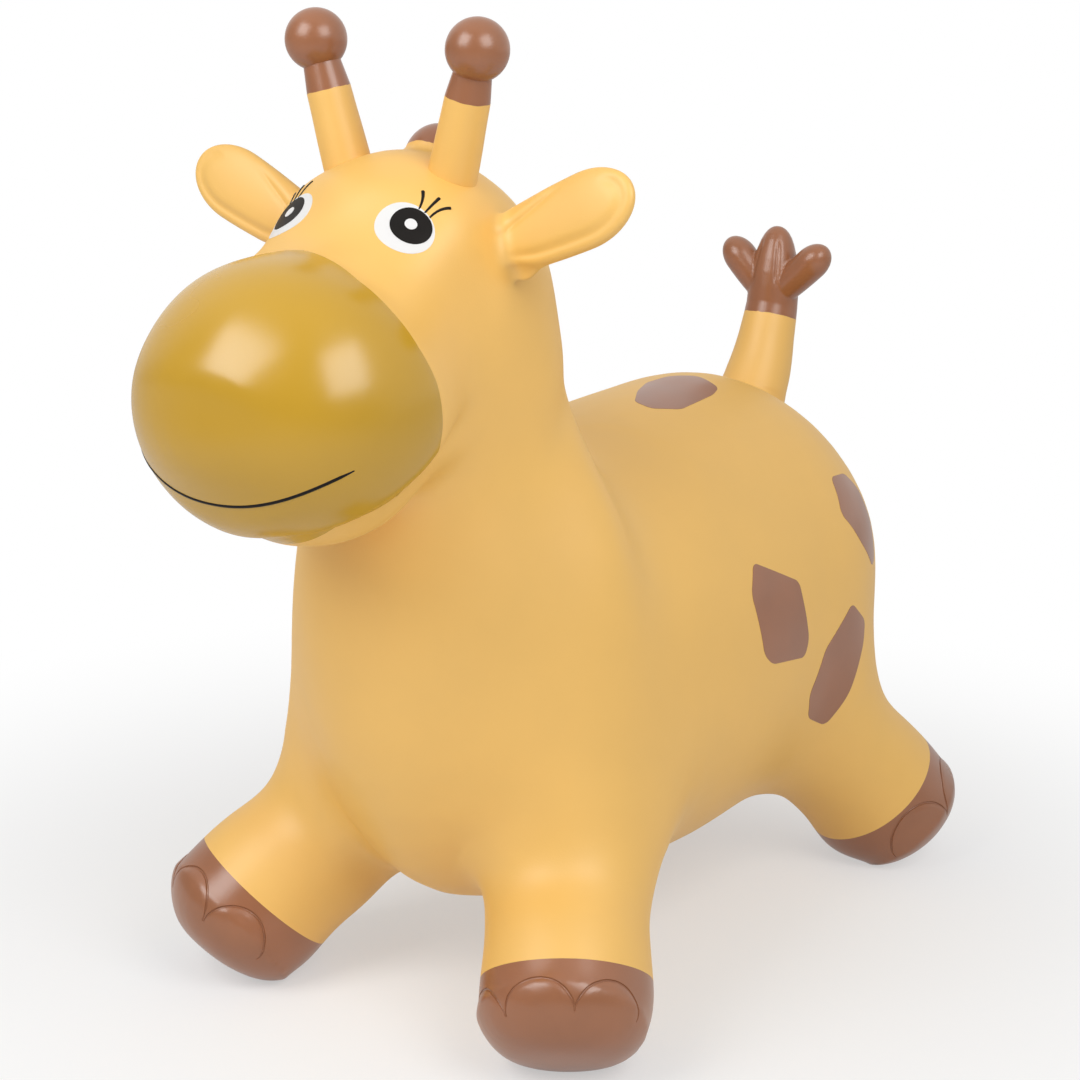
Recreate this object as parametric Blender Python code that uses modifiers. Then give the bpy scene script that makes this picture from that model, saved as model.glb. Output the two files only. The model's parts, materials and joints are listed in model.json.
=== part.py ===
# Bouncy ride-on giraffe: one air-filled moulded skin, shown as the forms that it is sprayed and handled as,
# with soft ears, horns and tail that bend at their roots, and a push-in valve plug in the belly.
# Metres, +Z up. The animal faces -Y, its left side is +X, and the origin is on the floor between the hooves.

import math

import bmesh
import bpy
from mathutils import Matrix, Vector

# Whole animal from muzzle to rump, and the trunk: how far its belly clears the floor, and how far
# its chest reaches forward of the neck's upright axis
BODY_LENGTH = 0.642
BELLY_CLEARANCE = 0.0443
TRUNK_HEIGHT = 0.2967
TRUNK_WIDTH = 0.260
CHEST_REACH = 0.0625

# Neck, and the head above it: how far the crown rises above the back
NECK_WIDTH = 0.154
NECK_DEPTH = 0.152
HEAD_RISE = 0.182

# Muzzle: its widest ring lies forward of the neck's axis and below the crown
MUZZLE_WIDTH = 0.178
MUZZLE_HEIGHT = 0.159
MUZZLE_LENGTH = 0.087
MUZZLE_FORWARD = 0.1119
MUZZLE_BELOW_CROWN = 0.124
MUZZLE_DROP_DEGREES = 13

# Legs and hooves: each ankle's distance from the centre plane, the front ones' forward of the neck's axis
# and the rear ones' in from the rump's end
FOOT_SPREAD = 0.116
FRONT_FOOT_FORWARD = 0.0235
REAR_FOOT_INSET = 0.080
LEG_DIAMETER = 0.102
HOOF_DIAMETER = 0.106
LEG_LENGTH = 0.095
HOOF_CAP = 0.050
SOLE_FLAT = 0.002
FRONT_LEG_SLOPE_DEGREES = 36
REAR_LEG_SLOPE_DEGREES = 46
HOOF_BEND_DEGREES = 14
FRONT_TOE_OUT_DEGREES = 33
REAR_TOE_OUT_DEGREES = 35

# How far along a leg its form parts from the trunk's, as a share of the leg's length,
# and the girth of the sleeve that parts them, as a share of the leg's and hoof's diameters
LEG_CUT_SHARE = 0.62
SLEEVE_SHARE = 1.12

# The neck parts from the trunk, and the head from the neck, on planes that rise from throat to nape:
# at the neck's axis one lies below the back's height, and the other a collar's height above the first
NECK_BASE_BELOW_BACK = 0.040
NECK_BASE_SLOPE_DEGREES = 34
COLLAR_HEIGHT = 0.056
JAW_SLOPE_DEGREES = 24

# Ears: dished leaves set in the sides of the head, forward of the neck's axis
EAR_FORWARD = 0.0185
EAR_INSET = 0.012
EAR_BELOW_CROWN = 0.0535
EAR_LENGTH = 0.095
EAR_WIDTH = 0.043
EAR_THICKNESS = 0.016
EAR_DISH = 0.006
EAR_LIFT_DEGREES = 24
EAR_TILT_DEGREES = 14
EAR_ROOT = 0.018

# Horns: tapered stalks with a collar and a ball, each a share of the head's width from its centre plane
HORN_SPREAD_SHARE = 0.243
HORN_FORWARD = 0.0215
HORN_BELOW_CROWN = 0.0089
HORN_LENGTH = 0.088
HORN_BASE_DIAMETER = 0.0285
HORN_LINE_DIAMETER = 0.0237
HORN_COLLAR_DIAMETER = 0.0215
HORN_BALL_DIAMETER = 0.034
HORN_LINE = 0.0417
HORN_FLARE = 0.0015
HORN_FLARE_RISE = 0.0045
HORN_LEAN_DEGREES = 15.5
HORN_NOD_DEGREES = 2
HORN_ROOT = 0.018

# Mane: one knob behind the horns
MANE_BACK = 0.0095
MANE_BELOW_CROWN = 0.012
MANE_DIAMETER = 0.040
MANE_HEIGHT = 0.026
MANE_LEAN_DEGREES = 40

# Tail, set in the rump at shares of the trunk's length and height, and its tuft of three lobes
TAIL_BASE_SHARES = (0.1047, 0.9225)
TAIL_LENGTH = 0.052
TAIL_BASE_DIAMETER = 0.047
TAIL_LINE_DIAMETER = 0.036
TAIL_LEAN_DEGREES = 19
TAIL_ROOT = 0.022
TUFT_LENGTH = 0.062
TUFT_LEAN_DEGREES = 8
TUFT_REACH = 0.046
TUFT_BEND_SHARE = 0.5
LOBE_DIAMETER = 0.020
LOBE_RISE = 0.019
LOBE_LIFT_DEGREES = 41

# Valve in the belly: a moulded seat with a push-in plug
SEAT_DIAMETER = 0.018
SEAT_DEPTH = 0.013
SEAT_LIP = 0.001
BORE_DIAMETER = 0.0066
PLUG_HEAD_DIAMETER = 0.0135
PLUG_HEAD_THICKNESS = 0.002
PLUG_LENGTH = 0.012
PLUG_TAPER_SHARE = 0.75
FIT_CLEARANCE = 0.0003

# Gap between forms of the skin that meet, how far a form is buried where the skin cuts it,
# and how far a cut runs past what it cuts
SEAM_GAP = 0.0003
BURIED = 0.012
OVERRUN = 0.02

# Cross-section of the trunk, neck and head: angles from the belly line up to the back line
RING_ANGLES = (0, 26, 54, 82, 114, 147, 180)

# Trunk stations: belly line, back line (how far forward of the rump's end, and how far up from the belly)
# and half width, as shares of the trunk's length, height and width; the valve sits at one of them
TRUNK_SHARES = (
    ((0.040, 0.247), (0.040, 0.718), 0.256),
    ((0.120, 0.086), (0.120, 0.883), 0.410),
    ((0.233, 0.009), (0.233, 0.994), 0.495),
    ((0.360, 0.000), (0.352, 1.007), 0.504),
    ((0.520, 0.000), (0.490, 1.002), 0.500),
    ((0.678, 0.018), (0.628, 0.983), 0.490),
    ((0.852, 0.069), (0.682, 0.998), 0.472),
    ((0.978, 0.306), (0.717, 1.080), 0.446),
)
VALVE_STATION = 4

# Neck and head stations: front line, nape line (how far behind the neck's axis, and up) and half width,
# as shares of the neck's depth, of the way from the back's height to the crown, and of the neck's width
NECK_SHARES = (
    ((-0.470, -0.620), (0.480, 0.330), 0.540),
    ((-0.462, -0.300), (0.495, 0.490), 0.478),
    ((-0.452, -0.085), (0.510, 0.610), 0.486),
    ((-0.500, 0.260), (0.510, 0.725), 0.512),
    ((-0.495, 0.500), (0.445, 0.815), 0.474),
    ((-0.455, 0.735), (0.320, 0.900), 0.398),
    ((-0.345, 0.900), (0.180, 0.970), 0.262),
)

# The stations, trunk and neck in one row, between which the legs and the muzzle leave the skin
REAR_HIP_ROWS = (1, 3)
FRONT_HIP_ROWS = (5, 7)
MUZZLE_ROWS = (10, 13)

# Muzzle stations: how far forward of its widest ring, and how full, as shares of its length and its section
MUZZLE_SHARES = ((-0.33, 0.93), (0.0, 1.0), (0.42, 0.93), (0.80, 0.64))

# Leg stations: how far along the leg, and how thick, as shares of the leg's length and diameter;
# the hoof's stations run on from them, as shares of the length of its cap and of its own diameter
LEG_SHARES = ((0.44, 1.0), (0.72, 0.99))
HOOF_SHARES = ((0.0, 0.98), (0.48, 0.98), (0.86, 0.68))

# How full the trunk's cross-section is: 1 is an ellipse, less is squarer
TRUNK_FULLNESS = 0.88

# Ear stations from inside the head to the tip: how far along, how wide and how thick,
# as shares of the ear's length, width and thickness
EAR_SHARES = (
    (-0.126, 0.84, 1.0),
    (0.0, 0.84, 1.0),
    (0.18, 0.86, 0.98),
    (0.42, 0.96, 0.95),
    (0.66, 1.02, 0.90),
    (0.86, 0.88, 0.80),
    (0.965, 0.52, 0.55),
)

# Tail stations below the line, and stations of the tuft's middle and side lobes above it:
# how far along and how thick, as shares of each one's length and diameter
TAIL_SHARES = ((-0.45, 1.04), (0.0, 1.0), (0.35, 0.90), (0.70, 0.82), (1.0, 0.775))
TUFT_SHARES = ((0.0, 1.0), (0.20, 0.97), (0.45, 0.93), (0.70, 0.76), (0.90, 0.48))
LOBE_SHARES = ((0.0, 0.90), (0.45, 1.04), (0.75, 0.98), (0.93, 0.58))

# Mane stations: height and girth, as shares of its height and diameter
MANE_SHARES = ((0.0, 0.92), (0.25, 1.0), (0.55, 0.90), (0.82, 0.60), (0.95, 0.32))

RING_COUNT = 8
TURN_STEPS = 18
BALL_STEPS = 7
FIT_ROUNDS = 12
FIT_SHARE = 0.8
HIP_SETTLE_SHARE = 0.35
SKIN_LEVELS = 2
TRIM_LEVELS = 1

MUZZLE_DROP = math.radians(MUZZLE_DROP_DEGREES)
MUZZLE_REACH = math.hypot(MUZZLE_LENGTH * math.cos(MUZZLE_DROP), MUZZLE_HEIGHT / 2 * math.sin(MUZZLE_DROP))
MUZZLE_Y = MUZZLE_REACH - BODY_LENGTH / 2
NECK_AXIS_Y = MUZZLE_Y + MUZZLE_FORWARD
RUMP_Y = BODY_LENGTH / 2
TRUNK_LENGTH = RUMP_Y - NECK_AXIS_Y + CHEST_REACH
BACK_HEIGHT = BELLY_CLEARANCE + TRUNK_HEIGHT
CROWN_HEIGHT = BACK_HEIGHT + HEAD_RISE


def clear_scene():
    for thing in list(bpy.data.objects):
        bpy.data.objects.remove(thing, do_unlink=True)


def swell(value, fullness):
    return math.copysign(abs(value) ** fullness, value)


def station_points(low, high, half_width, fullness=1):
    """One half cross-section, from the belly line to the back line."""
    low = Vector((0, *low))
    high = Vector((0, *high))
    middle = (low + high) / 2
    rise = (high - low) / 2
    points = []
    for angle in RING_ANGLES:
        turn = math.radians(angle)
        power = fullness if math.cos(turn) > 0 else 1
        across = half_width * swell(math.sin(turn), power)
        points.append(middle - rise * swell(math.cos(turn), power) + Vector((across, 0, 0)))
    return points


def trunk_point(shares):
    """A point on the trunk's centre plane: shares of its length from the rump, and of its height."""
    return RUMP_Y - shares[0] * TRUNK_LENGTH, BELLY_CLEARANCE + shares[1] * TRUNK_HEIGHT


def trunk_station(shares):
    low, high, width = shares
    return station_points(trunk_point(low), trunk_point(high), width * TRUNK_WIDTH, TRUNK_FULLNESS)


def neck_station(shares):
    low, high, width = shares
    return station_points(
        (NECK_AXIS_Y + low[0] * NECK_DEPTH, BACK_HEIGHT + low[1] * HEAD_RISE),
        (NECK_AXIS_Y + high[0] * NECK_DEPTH, BACK_HEIGHT + high[1] * HEAD_RISE),
        width * NECK_WIDTH,
    )


def close_half_ring(cage, ring, tip):
    """Closes an open end with a strip of faces on either side of the centre plane; tip is its middle point."""
    count = len(ring) - 3
    column = [ring[0]]
    for step in range(1, count):
        share = step / count
        across = ring[0].co.lerp(ring[-1].co, share)
        bulge = math.sin(math.pi * share)
        column.append(cage.verts.new(across + (tip - ring[0].co.lerp(ring[-1].co, 0.5)) * bulge))
    column.append(ring[-1])
    for step in range(count):
        cage.faces.new((column[step], ring[step + 1], ring[step + 2], column[step + 1]))


def add_loft(cage, start, rings, closed):
    """Joins rings of new points to a start loop, and gives back the last loop."""
    loop = start
    for points in rings:
        ring = [cage.verts.new(point) for point in points]
        count = len(ring)
        for index in range(count if closed else count - 1):
            after = (index + 1) % count
            cage.faces.new((loop[index], loop[after], ring[after], ring[index]))
        loop = ring
    return loop


def close_ring(cage, ring, tip):
    """Closes a whole ring with four-sided faces round its middle point."""
    middle = cage.verts.new(tip)
    count = len(ring)
    for index in range(0, count, 2):
        cage.faces.new((ring[index], ring[(index + 1) % count], middle, ring[index - 1]))


def leg_direction(slope_degrees, toe_out_degrees, way):
    slope = math.radians(slope_degrees)
    out = math.radians(toe_out_degrees)
    level = math.cos(slope)
    return Vector((level * math.sin(out), way * level * math.cos(out), -math.sin(slope)))


def leg_frame(way):
    """Root point, direction and hoof direction of a left leg: way is -1 for the front legs, 1 for the rear."""
    front = way < 0
    slope = FRONT_LEG_SLOPE_DEGREES if front else REAR_LEG_SLOPE_DEGREES
    toe_out = FRONT_TOE_OUT_DEGREES if front else REAR_TOE_OUT_DEGREES
    direction = leg_direction(slope, toe_out, way)
    hoof_direction = leg_direction(slope + HOOF_BEND_DEGREES, toe_out, way)
    along = NECK_AXIS_Y - FRONT_FOOT_FORWARD if front else RUMP_Y - REAR_FOOT_INSET
    ankle = Vector((FOOT_SPREAD, along, HOOF_DIAMETER / 2 - SOLE_FLAT))
    return ankle - direction * LEG_LENGTH, direction, hoof_direction


def cross_axes(axis):
    side = axis.cross(Vector((0, 0, 1))).normalized()
    return side, axis.cross(side)


def ring_round(centre, axis, radius, count, phase, turn):
    side, up = cross_axes(axis)
    points = []
    for index in range(count):
        angle = phase + turn * math.tau * index / count
        points.append(centre + (side * math.cos(angle) + up * math.sin(angle)) * radius)
    return points


def add_leg(cage, loop, way):
    """Draws a leg and its hoof out of a hole of eight points in the trunk."""
    root, direction, hoof_direction = leg_frame(way)
    side, up = cross_axes(direction)
    angles = [math.atan2((vert.co - root).dot(up), (vert.co - root).dot(side)) for vert in loop]
    area = sum(
        (vert.co - root).cross(after.co - root).dot(direction) for vert, after in zip(loop, loop[1:] + loop[:1])
    )
    turn = 1 if area > 0 else -1
    count = len(loop)
    offsets = [angle - turn * math.tau * index / count for index, angle in enumerate(angles)]
    phase = math.atan2(sum(map(math.sin, offsets)), sum(map(math.cos, offsets)))
    ankle = root + direction * LEG_LENGTH
    rings = []
    for along, girth in LEG_SHARES:
        centre = root + direction * along * LEG_LENGTH
        rings.append(ring_round(centre, direction, girth * LEG_DIAMETER / 2, count, phase, turn))
    for along, girth in HOOF_SHARES:
        centre = ankle + hoof_direction * along * HOOF_CAP
        rings.append(ring_round(centre, hoof_direction, girth * HOOF_DIAMETER / 2, count, phase, turn))
    end = add_loft(cage, loop, rings, True)
    close_ring(cage, end, ankle + hoof_direction * HOOF_CAP)


def muzzle_axes():
    forward = Vector((0, -math.cos(MUZZLE_DROP), -math.sin(MUZZLE_DROP)))
    up = Vector((0, -math.sin(MUZZLE_DROP), math.cos(MUZZLE_DROP)))
    return forward, up


def add_muzzle(cage, loop):
    """Draws the muzzle out of the front of the head; loop runs up from the throat on the left side."""
    forward, up = muzzle_axes()
    centre = Vector((0, MUZZLE_Y, CROWN_HEIGHT - MUZZLE_BELOW_CROWN))
    count = len(loop)
    rings = []
    for along, fullness in MUZZLE_SHARES:
        points = []
        for index in range(count):
            angle = math.pi * (index / (count - 1) - 0.5)
            across = Vector((MUZZLE_WIDTH / 2 * math.cos(angle), 0, 0)) + up * MUZZLE_HEIGHT / 2 * math.sin(angle)
            points.append(centre + forward * along * MUZZLE_LENGTH + across * fullness)
        points[0].x = 0
        points[-1].x = 0
        rings.append(points)
    end = add_loft(cage, loop, rings, False)
    close_half_ring(cage, end, centre + forward * MUZZLE_LENGTH)


def limit_point(vert):
    """Where a point of the cage lies on the smooth skin."""
    count = len(vert.link_edges)
    edges = Vector()
    for edge in vert.link_edges:
        edges += edge.other_vert(vert).co
    corners = Vector()
    for face in vert.link_faces:
        for other in face.verts:
            if other is not vert and not any(vert in edge.verts for edge in other.link_edges if edge in face.edges):
                corners += other.co
    return (vert.co * count * count + edges * 4 + corners) / (count * (count + 5))


def fit_cage(cage, mark=None):
    """Draws a cage outwards until its smooth form passes through the stations. The marked points, round the
    hips where a leg or the muzzle leaves the body, settle between their neighbours and so make the fillets."""
    goals = [vert.co.copy() for vert in cage.verts]
    for _ in range(FIT_ROUNDS):
        moves = []
        for vert, goal in zip(cage.verts, goals):
            if mark and vert[mark]:
                around = sum((edge.other_vert(vert).co for edge in vert.link_edges), Vector())
                settled = around / len(vert.link_edges)
                moves.append((goal.lerp(settled, HIP_SETTLE_SHARE) - vert.co) * FIT_SHARE)
            else:
                moves.append((goal - limit_point(vert)) * FIT_SHARE)
        for vert, move in zip(cage.verts, moves):
            vert.co += move


def make_cage():
    cage = bmesh.new()
    mark = cage.verts.layers.int.new("hip")
    rows = [trunk_station(shares) for shares in TRUNK_SHARES] + [neck_station(shares) for shares in NECK_SHARES]
    grid = [[cage.verts.new(point) for point in points] for points in rows]
    for row in range(len(grid) - 1):
        for column in range(len(RING_ANGLES) - 1):
            leg = column in (1, 2) and (
                REAR_HIP_ROWS[0] <= row < REAR_HIP_ROWS[1] or FRONT_HIP_ROWS[0] <= row < FRONT_HIP_ROWS[1]
            )
            muzzle = column in (0, 1) and MUZZLE_ROWS[0] <= row < MUZZLE_ROWS[1]
            if leg or muzzle:
                continue
            cage.faces.new(
                (grid[row][column], grid[row + 1][column], grid[row + 1][column + 1], grid[row][column + 1])
            )
    close_half_ring(cage, grid[0], Vector((0, RUMP_Y, grid[0][3].co.z)))
    crown = (grid[-1][0].co + grid[-1][-1].co) / 2
    close_half_ring(cage, grid[-1], Vector((0, crown.y, CROWN_HEIGHT)))
    hips = []
    for (low, high), way in ((REAR_HIP_ROWS, 1), (FRONT_HIP_ROWS, -1)):
        middle = low + 1
        places = ((low, 1), (low, 2), (low, 3), (middle, 3), (high, 3), (high, 2), (high, 1), (middle, 1))
        hip = [grid[row][column] for row, column in places]
        add_leg(cage, hip, way)
        hips += hip
    low, high = MUZZLE_ROWS
    places = [(low, 0), (low, 1), (low, 2)]
    places += [(row, 2) for row in range(low + 1, high)]
    places += [(high, 2), (high, 1), (high, 0)]
    hip = [grid[row][column] for row, column in places]
    add_muzzle(cage, hip)
    hips += hip
    for vert in hips:
        vert[mark] = 1
    loose = [vert for vert in cage.verts if not vert.link_faces]
    bmesh.ops.delete(cage, geom=loose, context="VERTS")
    bmesh.ops.mirror(cage, geom=cage.verts[:] + cage.edges[:] + cage.faces[:], axis="X", merge_dist=SEAM_GAP / 10)
    bmesh.ops.recalc_face_normals(cage, faces=cage.faces)
    fit_cage(cage, mark)
    return cage


def lean(degrees, way):
    """Upward direction that leans back by some degrees (way 1) or forward (way -1)."""
    angle = math.radians(degrees)
    return Vector((0, way * math.sin(angle), math.cos(angle)))


def sided(side, vector):
    return Vector((side * vector[0], vector[1], vector[2]))


def facing(direction):
    """Turns +Z along a direction, with the local Y as near upright as it goes."""
    return direction.to_track_quat("Z", "Y").to_matrix().to_4x4()


def make_material(name, colour, roughness):
    material = bpy.data.materials.new(name)
    material.use_nodes = True
    shader = material.node_tree.nodes["Principled BSDF"]
    shader.inputs["Base Color"].default_value = (*colour, 1)
    shader.inputs["Roughness"].default_value = roughness
    shader.inputs["Metallic"].default_value = 0
    return material


def add_object(name, cage, group, origin=Vector(), material=None):
    """Makes an object of a cage in world places, with its own origin."""
    mesh = bpy.data.meshes.new(name)
    bmesh.ops.translate(cage, verts=cage.verts, vec=-origin)
    cage.to_mesh(mesh)
    cage.free()
    thing = bpy.data.objects.new(name, mesh)
    thing.location = origin
    group.objects.link(thing)
    if material:
        mesh.materials.append(material)
        mesh.shade_smooth()
    return thing


def add_cutter(name, cage):
    cutter = add_object(name, cage, cutters)
    cutter.hide_render = True
    cutter.display_type = "WIRE"
    return cutter


def block(name, start, direction, reach, half_width, half_height):
    """A box that begins on a plane through start and runs along direction."""
    cage = bmesh.new()
    bmesh.ops.create_cube(cage, size=1)
    bmesh.ops.scale(cage, verts=cage.verts, vec=(half_width * 2, half_height * 2, reach))
    bmesh.ops.translate(cage, verts=cage.verts, vec=(0, 0, reach / 2))
    bmesh.ops.transform(cage, verts=cage.verts, matrix=Matrix.Translation(start) @ facing(direction))
    return add_cutter(name, cage)


def sleeve(name, start, direction, side, way, from_hip):
    """A round cutter that fits loosely over a leg and its hoof from a plane through start down past the toe."""
    root, leg_way, hoof_way = leg_frame(way)
    ankle = root + leg_way * LEG_LENGTH
    toe = ankle + hoof_way * (HOOF_CAP + OVERRUN)
    leg_radius = SLEEVE_SHARE * LEG_DIAMETER / 2
    hoof_radius = SLEEVE_SHARE * HOOF_DIAMETER / 2
    stations = [(start, direction, leg_radius if from_hip else hoof_radius)]
    if from_hip:
        stations.append((sided(side, ankle), sided(side, leg_way.lerp(hoof_way, 0.5).normalized()), hoof_radius))
    stations.append((sided(side, toe), sided(side, hoof_way), hoof_radius))
    rings = [ring_round(centre, axis, radius, TURN_STEPS, 0, 1) for centre, axis, radius in stations]
    cage = bmesh.new()
    first = [cage.verts.new(point) for point in rings[0]]
    last = add_loft(cage, first, rings[1:], True)
    cage.faces.new(first)
    cage.faces.new(last)
    bmesh.ops.recalc_face_normals(cage, faces=cage.faces)
    return add_cutter(name, cage)


def parting(make, name, start, direction, *sizes):
    """Two like cutters, the second a seam's gap further along: one cuts a form away, the other keeps it."""
    away = make(name + "_away", start, direction, *sizes)
    keep = make(name + "_keep", start + direction * SEAM_GAP, direction, *sizes)
    return away, keep


def smooth_form(thing, levels):
    smooth = thing.modifiers.new("smooth", "SUBSURF")
    smooth.levels = levels
    smooth.render_levels = levels


def cut(thing, cutter, operation):
    step = thing.modifiers.new(f"{operation.lower()}_{cutter.name}", "BOOLEAN")
    step.operation = operation
    step.object = cutter
    step.solver = "EXACT"


def add_skin_form(name, material, keep, away):
    """One form of the moulded skin: what keep holds of it, less what each cutter in away takes."""
    form = add_object(name, skin_cage.copy(), model, material=material)
    smooth_form(form, SKIN_LEVELS)
    if keep:
        cut(form, keep, "INTERSECT")
    for cutter in away:
        cut(form, cutter, "DIFFERENCE")


def add_limb_forms():
    """The four legs and hooves. Gives back the cuts that part them from the trunk."""
    parted = []
    floor = block("floor", Vector(), Vector((0, 0, -1)), HOOF_DIAMETER, BODY_LENGTH, BODY_LENGTH)
    for end, way in (("front", -1), ("rear", 1)):
        root, direction, hoof_direction = leg_frame(way)
        hip = root + direction * LEG_CUT_SHARE * LEG_LENGTH
        ankle = root + direction * LEG_LENGTH
        for hand, side in (("left", 1), ("right", -1)):
            name = f"{end}_{hand}"
            hip_cut = (name + "_hip", sided(side, hip), sided(side, direction))
            leg_away, leg_keep = parting(sleeve, *hip_cut, side, way, True)
            ankle_cut = (name + "_ankle", sided(side, ankle), sided(side, hoof_direction))
            hoof_away, hoof_keep = parting(sleeve, *ankle_cut, side, way, False)
            add_skin_form(name + "_leg", yellow, leg_keep, [hoof_away])
            add_skin_form(name + "_hoof", brown, hoof_keep, [floor])
            parted.append(leg_away)
    return parted


def add_head_forms():
    """Neck, head and muzzle. Gives back the cut that parts the neck from the trunk."""
    base = Vector((0, NECK_AXIS_Y, BACK_HEIGHT - NECK_BASE_BELOW_BACK))
    jaw = base + Vector((0, 0, COLLAR_HEIGHT))
    sizes = (BODY_LENGTH, BODY_LENGTH, BODY_LENGTH)
    neck_away, neck_keep = parting(block, "neck_base", base, lean(NECK_BASE_SLOPE_DEGREES, -1), *sizes)
    jaw_away, jaw_keep = parting(block, "jaw", jaw, lean(JAW_SLOPE_DEGREES, -1), *sizes)
    forward = muzzle_axes()[0]
    centre = Vector((0, MUZZLE_Y, CROWN_HEIGHT - MUZZLE_BELOW_CROWN))
    sizes = (MUZZLE_LENGTH + OVERRUN, MUZZLE_WIDTH / 2 + BURIED, MUZZLE_HEIGHT / 2 + BURIED)
    muzzle_away, muzzle_keep = parting(block, "muzzle_ring", centre, forward, *sizes)
    add_skin_form("neck", yellow, neck_keep, [jaw_away])
    add_skin_form("head", yellow, jaw_keep, [muzzle_away])
    add_skin_form("muzzle", mustard, muzzle_keep, [])
    return neck_away


def close_form(cage, stations, first_tip, last_tip):
    """A closed form through a list of rings, with a middle point at each end."""
    start = [cage.verts.new(point) for point in stations[0]]
    end = add_loft(cage, start, stations[1:], True)
    close_ring(cage, start, first_tip)
    close_ring(cage, end, last_tip)
    bmesh.ops.recalc_face_normals(cage, faces=cage.faces)
    fit_cage(cage)


def ear_cage(side):
    lift = math.radians(EAR_LIFT_DEGREES)
    tilt = math.radians(EAR_TILT_DEGREES)
    along = Vector((math.cos(lift), 0, math.sin(lift)))
    across = Vector((-math.sin(lift), 0, math.cos(lift)))
    face = Vector((0, -math.cos(tilt), 0)) + across * math.sin(tilt)
    across = along.cross(face)
    root = Vector((NECK_WIDTH / 2 - EAR_INSET, NECK_AXIS_Y - EAR_FORWARD, CROWN_HEIGHT - EAR_BELOW_CROWN))
    cage = bmesh.new()
    stations = []
    for reach, width, thickness in EAR_SHARES:
        centre = root + along * reach * EAR_LENGTH
        ring = []
        for index in range(RING_COUNT):
            angle = math.tau * index / RING_COUNT
            high = face * math.sin(angle) * thickness * EAR_THICKNESS / 2
            ring.append(centre + across * math.cos(angle) * width * EAR_WIDTH / 2 + high)
        ring[RING_COUNT // 4] -= face * EAR_DISH * thickness
        stations.append([sided(side, point) for point in ring])
    inner = root + along * EAR_SHARES[0][0] * EAR_LENGTH
    close_form(cage, stations, sided(side, inner), sided(side, root + along * EAR_LENGTH))
    return cage, sided(side, root), sided(side, along)


def add_ear(side, hand):
    """An ear in two forms: the root that bends, and the leaf that swings on it."""
    cage, root, along = ear_cage(side)
    hinge = root + along * EAR_ROOT / 2
    leaf_away, leaf_keep = parting(
        block, f"{hand}_ear_line", root + along * EAR_ROOT, along, EAR_LENGTH, EAR_WIDTH, EAR_WIDTH
    )
    collar = add_object(f"{hand}_ear_root", cage.copy(), model, hinge, yellow)
    smooth_form(collar, TRIM_LEVELS)
    cut(collar, leaf_away, "DIFFERENCE")
    cut(collar, grown_skin, "DIFFERENCE")
    leaf = add_object(f"{hand}_ear", cage, model, hinge, yellow)
    smooth_form(leaf, TRIM_LEVELS)
    cut(leaf, leaf_keep, "INTERSECT")


def turned(name, outline, origin, direction, group, material=None):
    """A turned solid: its outline runs down from the top, as radius and height above the origin.
    An outline that starts off the axis is a ring's, and closes on itself."""
    cage = bmesh.new()
    points = [cage.verts.new((radius, 0, height)) for radius, height in outline]
    ends = points[1:] + points[:1] if outline[0][0] else points[1:]
    for above, below in zip(points, ends):
        cage.edges.new((above, below))
    thing = add_object(name, cage, group, material=material)
    thing.matrix_world = Matrix.Translation(origin) @ facing(direction)
    spin = thing.modifiers.new("turn", "SCREW")
    spin.steps = TURN_STEPS
    spin.render_steps = TURN_STEPS
    spin.use_merge_vertices = True
    spin.merge_threshold = SEAM_GAP / 10
    spin.use_smooth_shade = True
    return thing


def add_horn(side, hand):
    """A horn in three forms: the root that bends, the stalk that swings on it, and the painted tip."""
    angle = math.radians(HORN_LEAN_DEGREES)
    nod = math.sin(math.radians(HORN_NOD_DEGREES))
    direction = Vector((side * math.sin(angle), -nod, math.cos(angle))).normalized()
    spread = HORN_SPREAD_SHARE * NECK_WIDTH
    base = sided(side, (spread, NECK_AXIS_Y - HORN_FORWARD, CROWN_HEIGHT - HORN_BELOW_CROWN))
    pivot = HORN_ROOT / 2
    hinge = base + direction * pivot
    base_radius = HORN_BASE_DIAMETER / 2
    line_radius = HORN_LINE_DIAMETER / 2
    taper = (base_radius - line_radius) / HORN_LINE
    split_radius = base_radius - taper * HORN_ROOT
    foot = -BURIED - pivot
    root_outline = [
        (0, HORN_ROOT - pivot),
        (split_radius, HORN_ROOT - pivot),
        (base_radius - taper * HORN_FLARE_RISE, HORN_FLARE_RISE - pivot),
        (base_radius + HORN_FLARE, -pivot),
        (base_radius + HORN_FLARE, foot),
        (0, foot),
    ]
    collar = turned(f"{hand}_horn_root", root_outline, hinge, direction, model, yellow)
    cut(collar, grown_skin, "DIFFERENCE")
    stalk_outline = [
        (0, HORN_LINE - pivot),
        (line_radius, HORN_LINE - pivot),
        (split_radius, HORN_ROOT + SEAM_GAP - pivot),
        (0, HORN_ROOT + SEAM_GAP - pivot),
    ]
    turned(f"{hand}_horn", stalk_outline, hinge, direction, model, yellow)
    ball_radius = HORN_BALL_DIAMETER / 2
    collar_radius = HORN_COLLAR_DIAMETER / 2
    ball_height = HORN_LENGTH - ball_radius - pivot
    last = math.pi - math.asin(collar_radius / ball_radius)
    tip_outline = []
    for step in range(BALL_STEPS + 1):
        turn = last * step / BALL_STEPS
        tip_outline.append((ball_radius * math.sin(turn), ball_height + ball_radius * math.cos(turn)))
    tip_outline += [(line_radius, HORN_LINE + SEAM_GAP - pivot), (0, HORN_LINE + SEAM_GAP - pivot)]
    turned(f"{hand}_horn_tip", tip_outline, hinge, direction, model, brown)


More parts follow.
